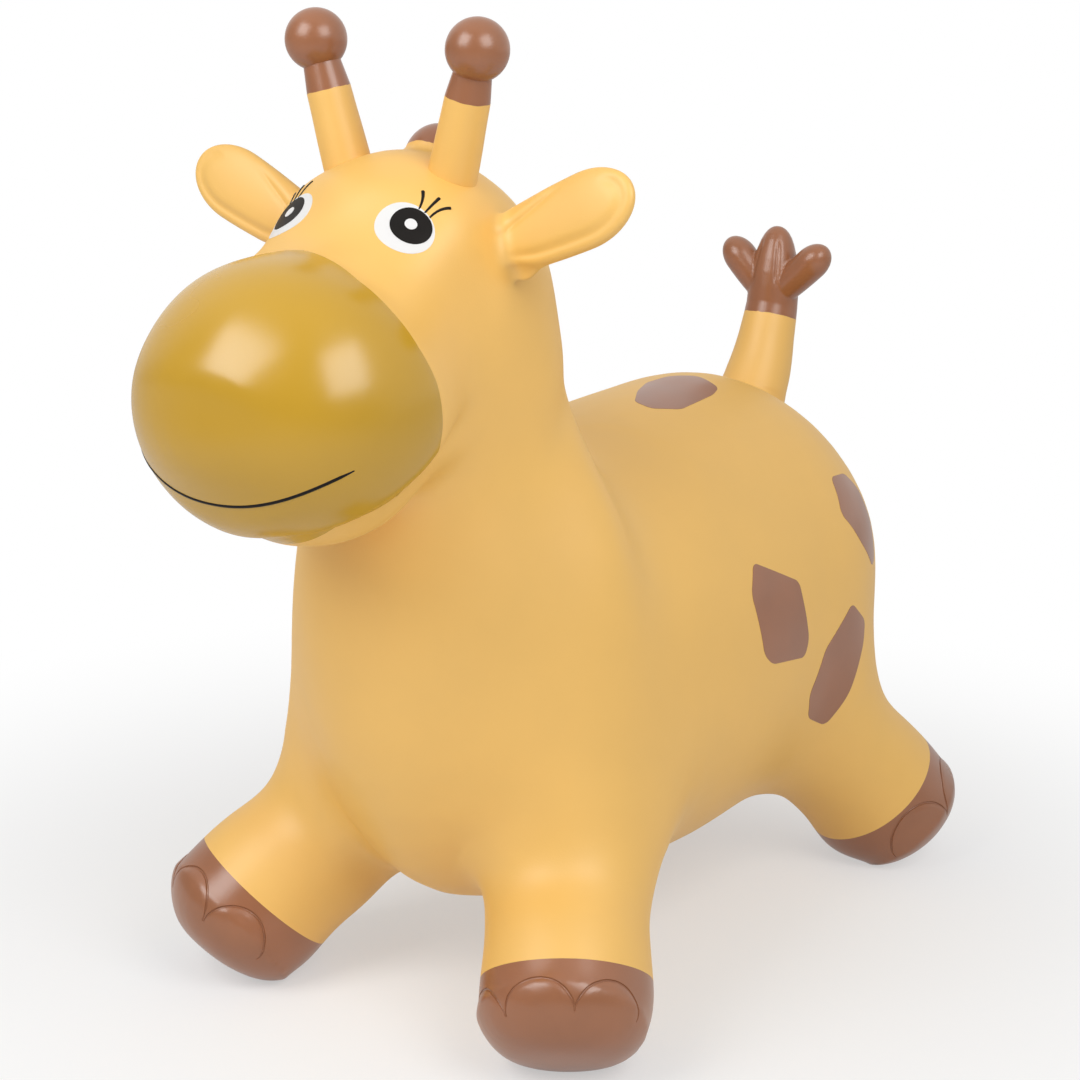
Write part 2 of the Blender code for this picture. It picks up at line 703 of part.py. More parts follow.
def add_mane():
    direction = lean(MANE_LEAN_DEGREES, 1)
    foot = Vector((0, NECK_AXIS_Y + MANE_BACK, CROWN_HEIGHT - MANE_BELOW_CROWN))
    outline = [(0, MANE_HEIGHT)]
    for height, girth in reversed(MANE_SHARES):
        outline.append((girth * MANE_DIAMETER / 2, height * MANE_HEIGHT))
    outline += [(MANE_SHARES[0][1] * MANE_DIAMETER / 2, -BURIED), (0, -BURIED)]
    mane = turned("mane", outline, foot, direction, model, brown)
    cut(mane, grown_skin, "DIFFERENCE")


def tail_stations():
    """Centres, directions and radii of the tail and of the tuft's middle lobe, from inside the rump to the top."""
    tail_way = lean(TAIL_LEAN_DEGREES, 1)
    tuft_way = lean(TUFT_LEAN_DEGREES, 1)
    base = Vector((0, *trunk_point(TAIL_BASE_SHARES)))
    line = base + tail_way * TAIL_LENGTH
    stations = []
    for along, girth in TAIL_SHARES[:-1]:
        stations.append((base + tail_way * along * TAIL_LENGTH, tail_way, girth * TAIL_BASE_DIAMETER / 2))
    for along, girth in TUFT_SHARES:
        way = tail_way.lerp(tuft_way, min(1, along / TUFT_BEND_SHARE)).normalized()
        stations.append((line + way * along * TUFT_LENGTH, way, girth * TAIL_LINE_DIAMETER / 2))
    return stations, base, line, tail_way, tuft_way


def add_tail():
    """The tail in three forms: the root that bends, the tail that swings on it, and the painted tuft."""
    stations, base, line, tail_way, tuft_way = tail_stations()
    top = line + tuft_way * TUFT_LENGTH
    rings = [ring_round(centre, way, radius, RING_COUNT, 0, 1) for centre, way, radius in stations]
    cage = bmesh.new()
    close_form(cage, rings, stations[0][0], top)
    hinge = base + tail_way * TAIL_ROOT / 2
    girth = TAIL_BASE_DIAMETER
    length = TAIL_LENGTH + TUFT_LENGTH + OVERRUN
    tail_away, tail_keep = parting(block, "tail_bend", base + tail_way * TAIL_ROOT, tail_way, length, girth, girth)
    tuft_away, tuft_keep = parting(block, "tail_line", line, tail_way, length, girth, girth)
    root = add_object("tail_root", cage.copy(), model, hinge, yellow)
    smooth_form(root, TRIM_LEVELS)
    cut(root, tail_away, "DIFFERENCE")
    cut(root, grown_skin, "DIFFERENCE")
    tail = add_object("tail", cage.copy(), model, hinge, yellow)
    smooth_form(tail, TRIM_LEVELS)
    cut(tail, tail_keep, "INTERSECT")
    cut(tail, tuft_away, "DIFFERENCE")
    tuft = add_object("tail_tuft", cage, model, hinge, brown)
    smooth_form(tuft, TRIM_LEVELS)
    cut(tuft, tuft_keep, "INTERSECT")
    lift = math.radians(LOBE_LIFT_DEGREES)
    start = line + tuft_way * LOBE_RISE
    for hand, side in (("left", 1), ("right", -1)):
        way = Vector((side * math.cos(lift), 0, math.sin(lift)))
        reach = TUFT_REACH / math.cos(lift) * LOBE_SHARES[-1][0]
        rings = []
        for along, girth_share in LOBE_SHARES:
            centre = start + way * along * reach
            rings.append(ring_round(centre, way, girth_share * LOBE_DIAMETER / 2, RING_COUNT, 0, 1))
        lobe_cage = bmesh.new()
        close_form(lobe_cage, rings, start, start + way * reach)
        lobe = add_cutter(f"{hand}_lobe", lobe_cage)
        smooth_form(lobe, TRIM_LEVELS)
        cut(tuft, lobe, "UNION")


def add_valve():
    """The moulded seat in the belly, its plug, and the pocket that the seat fills. Gives back the pocket."""
    mouth = Vector((0, *trunk_point(TRUNK_SHARES[VALVE_STATION][0])))
    upright = Vector((0, 0, 1))
    seat_radius = SEAT_DIAMETER / 2
    bore_radius = BORE_DIAMETER / 2
    seat_outline = [
        (bore_radius, -SEAT_LIP),
        (bore_radius, SEAT_DEPTH),
        (seat_radius, SEAT_DEPTH),
        (seat_radius, -SEAT_LIP),
    ]
    turned("valve_seat", seat_outline, mouth, upright, model, clear)
    head_top = -SEAT_LIP - FIT_CLEARANCE
    head_radius = PLUG_HEAD_DIAMETER / 2
    stem_radius = bore_radius - FIT_CLEARANCE
    plug_outline = [
        (0, head_top + PLUG_LENGTH),
        (stem_radius * PLUG_TAPER_SHARE, head_top + PLUG_LENGTH),
        (stem_radius, head_top + PLUG_LENGTH * PLUG_TAPER_SHARE),
        (stem_radius, head_top),
        (head_radius, head_top),
        (head_radius, head_top - PLUG_HEAD_THICKNESS / 2),
        (head_radius - PLUG_HEAD_THICKNESS / 2, head_top - PLUG_HEAD_THICKNESS),
        (0, head_top - PLUG_HEAD_THICKNESS),
    ]
    turned("valve_plug", plug_outline, mouth, upright, model, clear)
    pocket_top = SEAT_DEPTH + FIT_CLEARANCE
    pocket_radius = seat_radius + FIT_CLEARANCE
    pocket_outline = [(0, pocket_top), (pocket_radius, pocket_top), (pocket_radius, -OVERRUN), (0, -OVERRUN)]
    pocket = turned("valve_pocket", pocket_outline, mouth, upright, cutters)
    pocket.hide_render = True
    pocket.display_type = "WIRE"
    return pocket


clear_scene()
model = bpy.data.collections.new("bouncy_giraffe")
cutters = bpy.data.collections.new("cutters")
bpy.context.scene.collection.children.link(model)
bpy.context.scene.collection.children.link(cutters)

yellow = make_material("skin_yellow", (0.807, 0.515, 0.156), 0.55)
mustard = make_material("muzzle_mustard", (0.610, 0.376, 0.032), 0.30)
brown = make_material("painted_brown", (0.392, 0.162, 0.076), 0.35)
clear = make_material("valve_white", (0.78, 0.76, 0.70), 0.40)

skin_cage = make_cage()
grown_skin = add_cutter("grown_skin", skin_cage.copy())
smooth_form(grown_skin, SKIN_LEVELS)
swollen = grown_skin.modifiers.new("gap", "DISPLACE")
swollen.strength = SEAM_GAP
swollen.mid_level = 0

leg_cuts = add_limb_forms()
neck_cut = add_head_forms()
valve_pocket = add_valve()
add_skin_form("trunk", yellow, None, [*leg_cuts, neck_cut, valve_pocket])
for hand, side in (("left", 1), ("right", -1)):
    add_ear(side, hand)
    add_horn(side, hand)
add_mane()
add_tail()
skin_cage.free()
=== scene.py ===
"""Looks of an air-filled ride-on giraffe for a small child: matte yellow vinyl, sprayed and printed."""

import json
import math

import bpy
import numpy as np
from mathutils import Matrix, Vector
from mathutils.bvhtree import BVHTree
from mathutils.kdtree import KDTree

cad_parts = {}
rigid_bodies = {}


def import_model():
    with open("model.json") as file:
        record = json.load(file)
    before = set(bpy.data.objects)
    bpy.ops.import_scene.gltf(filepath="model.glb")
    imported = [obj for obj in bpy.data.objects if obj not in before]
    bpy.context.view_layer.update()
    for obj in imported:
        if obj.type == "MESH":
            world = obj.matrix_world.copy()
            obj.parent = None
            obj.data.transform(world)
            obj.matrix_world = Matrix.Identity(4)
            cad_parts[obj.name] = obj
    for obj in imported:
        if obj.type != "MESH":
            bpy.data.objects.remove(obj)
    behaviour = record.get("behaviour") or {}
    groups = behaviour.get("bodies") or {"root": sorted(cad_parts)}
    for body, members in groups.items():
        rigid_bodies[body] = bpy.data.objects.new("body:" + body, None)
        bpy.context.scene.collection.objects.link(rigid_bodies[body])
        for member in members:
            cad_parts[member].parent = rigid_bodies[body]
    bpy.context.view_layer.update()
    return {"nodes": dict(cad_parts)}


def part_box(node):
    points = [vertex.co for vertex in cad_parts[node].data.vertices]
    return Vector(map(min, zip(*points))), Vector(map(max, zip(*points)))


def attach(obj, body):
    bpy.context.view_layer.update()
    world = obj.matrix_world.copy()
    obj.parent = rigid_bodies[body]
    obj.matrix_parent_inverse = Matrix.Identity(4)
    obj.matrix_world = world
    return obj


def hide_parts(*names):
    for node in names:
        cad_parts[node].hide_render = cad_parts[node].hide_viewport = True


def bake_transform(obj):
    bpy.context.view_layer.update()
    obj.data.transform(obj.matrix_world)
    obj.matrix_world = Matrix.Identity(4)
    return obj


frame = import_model()

# Studio: a white sweep under two soft boxes, seen from the photograph's place, a little above the toy
# and off its front left corner.
CAMERA_PLACE = (0.8416, -1.2319, 0.6725)
CAMERA_TARGET = (0.0, -0.0178, 0.29)
CAMERA_LENS = 81.709
CAMERA_SHIFT = (0.01095, -0.02928)
SWEEP_SIZE = 12.0
WORLD_LIGHT, FLOOR_MIRRORED = 0.40, 0.45
BRIGHT_WAY, BRIGHT_EDGE = (0.0, 0.8, 0.6), 0.5
PAPER_WHITE = 0.85
SHADE_NEAR, SHADE_FAR, SHADE_GLOW = 0.10, 0.75, 0.45
LIT_HEAD = Vector((0.0, -0.25, 0.40))
BOX_DISTANCE = 1.5

scene = bpy.context.scene
scene.view_settings.view_transform = "Standard"


def only(*pieces):
    """Selects these pieces and nothing else; the last one is the active one."""
    bpy.ops.object.select_all(action="DESELECT")
    for piece in pieces:
        piece.select_set(True)
    bpy.context.view_layer.objects.active = pieces[-1]


def new_material(name):
    """An empty material, its node maker, its node linker and its output's surface."""
    material = bpy.data.materials.new(name)
    material.use_nodes = True
    tree = material.node_tree
    tree.nodes.clear()
    output = tree.nodes.new("ShaderNodeOutputMaterial")
    return material, tree.nodes.new, tree.links.new, output.inputs["Surface"]


def reckoned(make, link, operation, *terms):
    """The result of a Math node on two sockets, or on a socket and a number."""
    node = make("ShaderNodeMath")
    node.operation = operation
    for socket, term in zip(node.inputs, terms):
        if isinstance(term, float):
            socket.default_value = term
        else:
            link(term, socket)
    return node.outputs[0]


bpy.ops.object.camera_add(location=CAMERA_PLACE)
camera = bpy.context.object
camera.name = "camera"
camera.rotation_euler = (Vector(CAMERA_TARGET) - Vector(CAMERA_PLACE)).to_track_quat("-Z", "Y").to_euler()
camera.data.lens = CAMERA_LENS
camera.data.shift_x, camera.data.shift_y = CAMERA_SHIFT
scene.camera = camera

for name, azimuth, elevation, size, power in (
    ("key_box", -20, 42, 1.00, 14.8),
    ("side_box", 77, 37, 0.90, 10.9),
):
    turn, rise = math.radians(azimuth), math.radians(elevation)
    toward = Vector((math.sin(turn) * math.cos(rise), -math.cos(turn) * math.cos(rise), math.sin(rise)))
    bpy.ops.object.light_add(type="AREA", location=LIT_HEAD + toward * BOX_DISTANCE)
    lamp = bpy.context.object
    lamp.name = name
    lamp.rotation_euler = toward.to_track_quat("Z", "Y").to_euler()
    lamp.data.size = size
    lamp.data.energy = power

world = bpy.data.worlds.new("studio")
scene.world = world
world.use_nodes = True
make, link = world.node_tree.nodes.new, world.node_tree.links.new
sky = world.node_tree.nodes["Background"]
rays = make("ShaderNodeLightPath")
place = make("ShaderNodeTexCoord")
toward = make("ShaderNodeVectorMath")
toward.operation = "DOT_PRODUCT"
link(place.outputs["Object"], toward.inputs[0])
toward.inputs[1].default_value = BRIGHT_WAY
behind = make("ShaderNodeMapRange")
behind.interpolation_type = "SMOOTHSTEP"
behind.inputs["From Min"].default_value = 0.0
behind.inputs["From Max"].default_value = BRIGHT_EDGE
link(toward.outputs["Value"], behind.inputs["Value"])
mirrored = reckoned(make, link, "MULTIPLY", rays.outputs["Is Glossy Ray"], behind.outputs[0])
seen = reckoned(make, link, "MAXIMUM", rays.outputs["Is Camera Ray"], mirrored)
white = reckoned(make, link, "MAXIMUM", seen, rays.outputs["Is Transmission Ray"])
strength = make("ShaderNodeMapRange")
link(white, strength.inputs["Value"])
strength.inputs["To Min"].default_value = WORLD_LIGHT
strength.inputs["To Max"].default_value = 1.0
link(strength.outputs[0], sky.inputs["Strength"])
sky.inputs["Color"].default_value = (1.0, 1.0, 1.0, 1.0)

bpy.ops.mesh.primitive_plane_add(size=SWEEP_SIZE)
sweep = bpy.context.object
sweep.name = "sweep"
material, make, link, surface = new_material("sweep_paper")
paper = make("ShaderNodeBsdfDiffuse")
paper.inputs["Color"].default_value = (PAPER_WHITE, PAPER_WHITE, PAPER_WHITE, 1.0)
glow = make("ShaderNodeEmission")
rays = make("ShaderNodeLightPath")
place = make("ShaderNodeTexCoord")
reach = make("ShaderNodeVectorMath")
reach.operation = "LENGTH"
link(place.outputs["Object"], reach.inputs[0])
fade = make("ShaderNodeMapRange")
fade.interpolation_type = "SMOOTHSTEP"
link(reach.outputs["Value"], fade.inputs["Value"])
fade.inputs["From Min"].default_value = SHADE_NEAR
fade.inputs["From Max"].default_value = SHADE_FAR
fade.inputs["To Min"].default_value = SHADE_GLOW
fade.inputs["To Max"].default_value = 1.0
seen = reckoned(make, link, "MULTIPLY", fade.outputs[0], rays.outputs["Is Camera Ray"])
mirrored = reckoned(make, link, "MULTIPLY", rays.outputs["Is Glossy Ray"], FLOOR_MIRRORED)
white = reckoned(make, link, "MAXIMUM", seen, mirrored)
mix = make("ShaderNodeMixShader")
link(white, mix.inputs["Fac"])
link(paper.outputs[0], mix.inputs[1])
link(glow.outputs[0], mix.inputs[2])
link(mix.outputs[0], surface)
sweep.data.materials.append(material)

# The skin: one hollow moulding of soft vinyl, cast in a turning mould and blown up with air, so every
# form runs into the next in one smooth surface. It is matte, faintly mottled, and pebbled very finely.
SKIN_VOXEL = 0.003
SKIN_ROUNDS = 30
SMOOTH_IN, SMOOTH_OUT = 0.5, -0.52
WELD = 0.00001
LIMBS = ("front_left", "front_right", "rear_left", "rear_right")
SKIN_NODES = ["trunk", "neck", "head", "muzzle"]
SKIN_NODES += [f"{limb}_{form}" for limb in LIMBS for form in ("leg", "hoof")]


def copy_of(name, *nodes):
    """One new piece with the welded meshes of these nodes."""
    copies = []
    for node in nodes:
        copy = bpy.data.objects.new(name, frame["nodes"][node].data.copy())
        copy.data.materials.clear()
        scene.collection.objects.link(copy)
        copies.append(copy)
    only(*copies)
    if len(copies) > 1:
        bpy.ops.object.join()
    piece = bpy.context.object
    piece.name = name
    bpy.ops.object.mode_set(mode="EDIT")
    bpy.ops.mesh.select_all(action="SELECT")
    bpy.ops.mesh.remove_doubles(threshold=WELD)
    bpy.ops.object.mode_set(mode="OBJECT")
    return piece


def finish_with(piece, kind, **settings):
    """Adds a modifier to the piece and applies it."""
    only(piece)
    modifier = piece.modifiers.new(kind.lower(), kind)
    for setting, value in settings.items():
        setattr(modifier, setting, value)
    bpy.ops.object.modifier_apply(modifier=modifier.name)


def relax(piece, rounds):
    """Smooths the piece's facets away without shrinking it."""
    only(piece)
    bpy.ops.object.mode_set(mode="EDIT")
    bpy.ops.mesh.select_all(action="SELECT")
    for _ in range(rounds):
        bpy.ops.mesh.vertices_smooth(factor=SMOOTH_IN)
        bpy.ops.mesh.vertices_smooth(factor=SMOOTH_OUT)
    bpy.ops.object.mode_set(mode="OBJECT")


def choose(piece, test):
    """Opens the piece in edit mode with the faces selected whose centres and normals pass the test."""
    mesh = piece.data
    only(piece)
    centres, normals = np.empty(len(mesh.polygons) * 3), np.empty(len(mesh.polygons) * 3)
    mesh.polygons.foreach_get("center", centres)
    mesh.polygons.foreach_get("normal", normals)
    chosen = test(centres.reshape(-1, 3), normals.reshape(-1, 3))
    scene.tool_settings.mesh_select_mode = (False, False, True)
    for parts in (mesh.vertices, mesh.edges):
        parts.foreach_set("select", np.zeros(len(parts), bool))
    mesh.polygons.foreach_set("select", chosen)
    bpy.ops.object.mode_set(mode="EDIT")


def corners_of(piece):
    points = np.empty(len(piece.data.vertices) * 3)
    piece.data.vertices.foreach_get("co", points)
    return points.reshape(-1, 3)


def put_corners(piece, points):
    piece.data.vertices.foreach_set("co", np.asarray(points, float).ravel())
    piece.data.update()


def smooth_shaded(piece):
    piece.data.polygons.foreach_set("use_smooth", np.ones(len(piece.data.polygons), bool))
    piece.data.update()


def soften(piece, chosen, rounds):
    """Smooths the chosen corners of the piece, so that creases between forms run out softly."""
    only(piece)
    scene.tool_settings.mesh_select_mode = (True, False, False)
    for parts in (piece.data.edges, piece.data.polygons):
        parts.foreach_set("select", np.zeros(len(parts), bool))
    piece.data.vertices.foreach_set("select", chosen)
    bpy.ops.object.mode_set(mode="EDIT")
    for _ in range(rounds):
        bpy.ops.mesh.vertices_smooth(factor=SMOOTH_IN)
    bpy.ops.object.mode_set(mode="OBJECT")


def step_up(values, low, high):
    """0 below low, 1 above high, and smooth between them."""
    share = np.clip((values - low) / (high - low), 0, 1)
    return share * share * (3 - 2 * share)


def outer_shell(piece):
    """Leaves only the shell that holds the piece's lowest point, without the bubbles inside it."""
    only(piece)
    lowest = min(piece.data.vertices, key=lambda vertex: vertex.co.z).index
    scene.tool_settings.mesh_select_mode = (True, False, False)
    for parts in (piece.data.vertices, piece.data.edges, piece.data.polygons):
        parts.foreach_set("select", np.zeros(len(parts), bool))
    piece.data.vertices[lowest].select = True
    bpy.ops.object.mode_set(mode="EDIT")
    bpy.ops.mesh.select_linked()
    bpy.ops.mesh.select_all(action="INVERT")
    bpy.ops.mesh.delete(type="VERT")
    bpy.ops.object.mode_set(mode="OBJECT")


def seam(node, neighbour, reach=0.0007):
    """Middle of the cut between two nodes, and the cut's normal, which points into the first one."""
    other = frame["nodes"][neighbour].data.vertices
    tree = KDTree(len(other))
    for index, vertex in enumerate(other):
        tree.insert(vertex.co, index)
    tree.balance()
    corners = frame["nodes"][node].data.vertices
    rim = np.array([vertex.co for vertex in corners if tree.find(vertex.co)[2] < reach])
    middle = rim.mean(0)
    normal = np.linalg.svd(rim - middle)[2][2]
    body = np.mean([vertex.co for vertex in corners], axis=0)
    return middle, normal * np.sign((body - middle) @ normal)


skin = copy_of("skin_whole", *SKIN_NODES, "valve_seat", "valve_plug")
finish_with(skin, "REMESH", mode="VOXEL", voxel_size=SKIN_VOXEL)
outer_shell(skin)
relax(skin, SKIN_ROUNDS)

# The crown sits forward over the muzzle, the brow swells round each eye, the nape is full, and the skin
# draws in right behind the painted chin.
HEAD_FORWARD = 0.0155
CROWN_LOW, CROWN_HIGH = 0.4027, 0.4824
BRIDGE_FRONT, BRIDGE_BACK = -0.240, -0.205
BROW_PLACE = np.array((0.055, -0.1627, 0.486))
BROW_SPREAD = 0.0285
BROW_SWELL = np.array((0.0066, 0.0007, 0.0031))
NAPE_HEIGHT, NAPE_SPREAD, NAPE_SWELL = 0.3900, 0.033, 0.0058
NAPE_FRONT, NAPE_BACK = -0.14, -0.10
NECK_AXIS = -0.125
CHIN_PLACE, CHIN_WAY = np.array((-0.2615, 0.3424)), np.array((0.56, -0.83))
CHIN_DRAW, CHIN_START, CHIN_END, CHIN_TOP = 0.0075, (-0.003, 0.005), (0.010, 0.028), (0.372, 0.398)
MUZZLE_MIDDLE = np.array((0.0, -0.29, 0.39))
SOFT_ROUNDS, VALLEY_ROUNDS, LEG_ROOT_REACH = 10, 90, 0.080
NECK_VALLEY_PLACE, NECK_VALLEY_REACH = np.array((0.062, -0.008, 0.318)), 0.062
points = corners_of(skin)
mirror = np.column_stack((np.sign(points[:, 0]), np.ones((len(points), 2))))
crown = step_up(points[:, 2], CROWN_LOW, CROWN_HIGH) * step_up(points[:, 1], BRIDGE_FRONT, BRIDGE_BACK)
from_brow = (points * mirror - BROW_PLACE) / BROW_SPREAD
brow = np.exp(-(from_brow ** 2).sum(1))
from_axis = points[:, :2] - (0.0, NECK_AXIS)
nape = np.exp(-(((points[:, 2] - NAPE_HEIGHT) / NAPE_SPREAD) ** 2))
nape *= step_up(points[:, 1], NAPE_FRONT, NAPE_BACK)
points[:, :2] += from_axis / np.linalg.norm(from_axis, axis=1)[:, None] * nape[:, None] * NAPE_SWELL
behind_chin = (points[:, 1:] - CHIN_PLACE) @ CHIN_WAY
draw = CHIN_DRAW * step_up(behind_chin, *CHIN_START) * (1 - step_up(behind_chin, *CHIN_END))
draw *= 1 - step_up(points[:, 2], *CHIN_TOP)
to_middle = MUZZLE_MIDDLE - points
points += to_middle / np.linalg.norm(to_middle, axis=1)[:, None] * draw[:, None]
points[:, 1] -= HEAD_FORWARD * crown
points += brow[:, None] * mirror * BROW_SWELL
put_corners(skin, points)
soften(skin, np.ones(len(points), bool), SOFT_ROUNDS)
smooth_shaded(skin)
points = corners_of(skin)
folded = np.abs(points) * (1, 0, 0) + points * (0, 1, 1)
valleys = np.linalg.norm(folded - NECK_VALLEY_PLACE, axis=1) < NECK_VALLEY_REACH
for limb in LIMBS:
    root, _ = seam(f"{limb}_leg", "trunk")
    valleys |= np.linalg.norm(points - root, axis=1) < LEG_ROOT_REACH
soften(skin, valleys, VALLEY_ROUNDS)
skin_tree = BVHTree.FromObject(skin, bpy.context.evaluated_depsgraph_get())
only(skin)
bpy.ops.object.duplicate()
skin_shades = bpy.context.object
skin_shades.name = "skin_shades"
TINT_DETAIL, TINT_STOPS, GLOSS_SPREAD = 3.0, (0.15, 0.85), 0.05
PEBBLE_SCALE, PEBBLE_DETAIL, PEBBLE_HEIGHT = 900.0, 2.0, 0.0002


def vinyl(name, colour, roughness, tint, tint_scale, pebble, shine=0.5):
    """Soft vinyl or the paint on it: a mottled colour, an uneven gloss and a fine pebble."""
    material, make, link, surface = new_material(name)
    shader = make("ShaderNodeBsdfPrincipled")
    shader.inputs["Specular IOR Level"].default_value = shine
    place = make("ShaderNodeTexCoord")
    cloud = make("ShaderNodeTexNoise")
    cloud.inputs["Scale"].default_value = tint_scale
    cloud.inputs["Detail"].default_value = TINT_DETAIL
    link(place.outputs["Object"], cloud.inputs["Vector"])
    shades = make("ShaderNodeValToRGB")
    shades.color_ramp.interpolation = "EASE"
    for stop, share, position in zip(shades.color_ramp.elements, (1 - tint, 1 + tint), TINT_STOPS):
        stop.position = position
        stop.color = [min(channel * share, 1.0) for channel in colour] + [1.0]
    link(cloud.outputs["Fac"], shades.inputs["Fac"])
    link(shades.outputs["Color"], shader.inputs["Base Color"])
    gloss = make("ShaderNodeMapRange")
    gloss.inputs["To Min"].default_value = roughness - GLOSS_SPREAD
    gloss.inputs["To Max"].default_value = roughness + GLOSS_SPREAD
    link(cloud.outputs["Fac"], gloss.inputs["Value"])
    link(gloss.outputs[0], shader.inputs["Roughness"])
    grain = make("ShaderNodeTexNoise")
    grain.inputs["Scale"].default_value = PEBBLE_SCALE
    grain.inputs["Detail"].default_value = PEBBLE_DETAIL
    link(place.outputs["Object"], grain.inputs["Vector"])
    bump = make("ShaderNodeBump")
    bump.inputs["Strength"].default_value = pebble
    bump.inputs["Distance"].default_value = PEBBLE_HEIGHT
    link(grain.outputs["Fac"], bump.inputs["Height"])
    link(bump.outputs["Normal"], shader.inputs["Normal"])
    link(shader.outputs["BSDF"], surface)
    return material


yellow = vinyl("yellow_vinyl", (0.86, 0.505, 0.118), 0.50, 0.03, 14.0, 0.25, shine=0.9)

# Hooves: the lower end of each leg, dipped or sprayed brown to a crisp line round the ankle. The lines
# aren't quite square to the legs, as on any toy masked by hand. Three toes are incised round each front.
brown = vinyl("brown_paint", (0.31, 0.115, 0.045), 0.30, 0.08, 25.0, 0.2, shine=0.8)
CREASE_ANGLE = math.radians(40)


def beyond(points, cuts):
    """Which of the points lie on the far side of every cut."""
    return np.all([(points - middle) @ normal > 0 for middle, normal in cuts], axis=0)


def part_off(whole, name, cuts, near, merged=0.0):
    """Cuts a piece off the whole along planes, within the region that near gives. A cut's corners that
    lie within the merged distance of an older corner join it."""
    for middle, normal in cuts:
        choose(whole, lambda points, _: near(points))
        bpy.ops.mesh.bisect(plane_co=middle, plane_no=normal)
        if merged:
            bpy.ops.mesh.remove_doubles(threshold=merged, use_unselected=True)
        bpy.ops.object.mode_set(mode="OBJECT")
    choose(whole, lambda points, _: near(points) & beyond(points, cuts))
    bpy.ops.mesh.separate(type="SELECTED")
    bpy.ops.object.mode_set(mode="OBJECT")
    piece = next(other for other in bpy.context.selected_objects if other != whole)
    piece.name = name
    return piece


def thread_on_skin(name, points, radii, sink):
    """A thin round thread along the points, which are laid on the skin, its middle sunk by a share of
    its radius."""
    curve = bpy.data.curves.new(name, "CURVE")
    curve.dimensions = "3D"
    curve.bevel_depth = 1.0
    curve.bevel_resolution = 3
    curve.use_fill_caps = True
    spline = curve.splines.new("POLY")
    spline.points.add(len(points) - 1)
    for knot, point, radius in zip(spline.points, points, radii):
        place, normal, _, _ = skin_tree.find_nearest(Vector(point))
        knot.co = (*(place - normal * radius * sink), 1.0)
        knot.radius = radius
    thread = bpy.data.objects.new(name, curve)
    scene.collection.objects.link(thread)
    only(thread)
    bpy.ops.object.convert(target="MESH")
    piece = bpy.context.object
    bpy.ops.object.mode_set(mode="EDIT")
    bpy.ops.mesh.select_all(action="SELECT")
    bpy.ops.mesh.remove_doubles(threshold=WELD)
    bpy.ops.mesh.normals_make_consistent(inside=False)
    bpy.ops.object.mode_set(mode="OBJECT")
    smooth_shaded(piece)
    return piece


def close_ends(piece):
    """Closes the piece's cut ends."""
    only(piece)
    bpy.ops.object.mode_set(mode="EDIT")
    bpy.ops.mesh.select_all(action="SELECT")
    bpy.ops.mesh.fill_holes(sides=0)
    bpy.ops.object.mode_set(mode="OBJECT")


def creased(piece, angle=CREASE_ANGLE):
    """Shades the piece smoothly, but for the creases that turn by more than the angle."""
    only(piece)
    bpy.ops.object.shade_smooth_by_angle(angle=angle)


def dress(piece, material, slot, body, *nodes):
    """Gives a piece its finish, and its place on a body, in place of these nodes."""
    piece.data.materials.clear()
    piece.data.materials.append(material)
    if nodes:
        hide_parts(*nodes)
    if body:
        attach(piece, body)


HOOF_TILTS = {
    "front_left": (-0.0008, 0.0, 0.0),
    "front_right": (-0.002, -0.004, -0.003),
    "rear_left": (-0.004, -0.010, 0.002),
    "rear_right": (-0.004, -0.010, -0.002),
}
HOOF_GIRTH = 0.053
HOOF_REACH = 0.09
TOE_ANGLES = {
    "front_left": (-31, 18, 68), "front_right": (33, -17, -67),
    "rear_left": (88, 29, -30), "rear_right": (-88, -29, 30),
}
TOE_HALF_ANGLE = {"front_left": 24.5, "front_right": 24.5, "rear_left": 29.5, "rear_right": 29.5}
TOE_PEAKS = {"front_left": 0.0100, "front_right": 0.0065, "rear_left": 0.0015, "rear_right": 0.0015}
TOE_ENDS = 0.032
TOE_STEPS = 26
TOE_SWELL = 0.0006
TOE_EDGE, TOE_FADE = 0.005, (0.020, 0.045)
GROOVE_RADIUS, GROOVE_SINK = 0.0009, 0.1
GROOVE_START, GROOVE_GROWTH = 0.4, 0.15
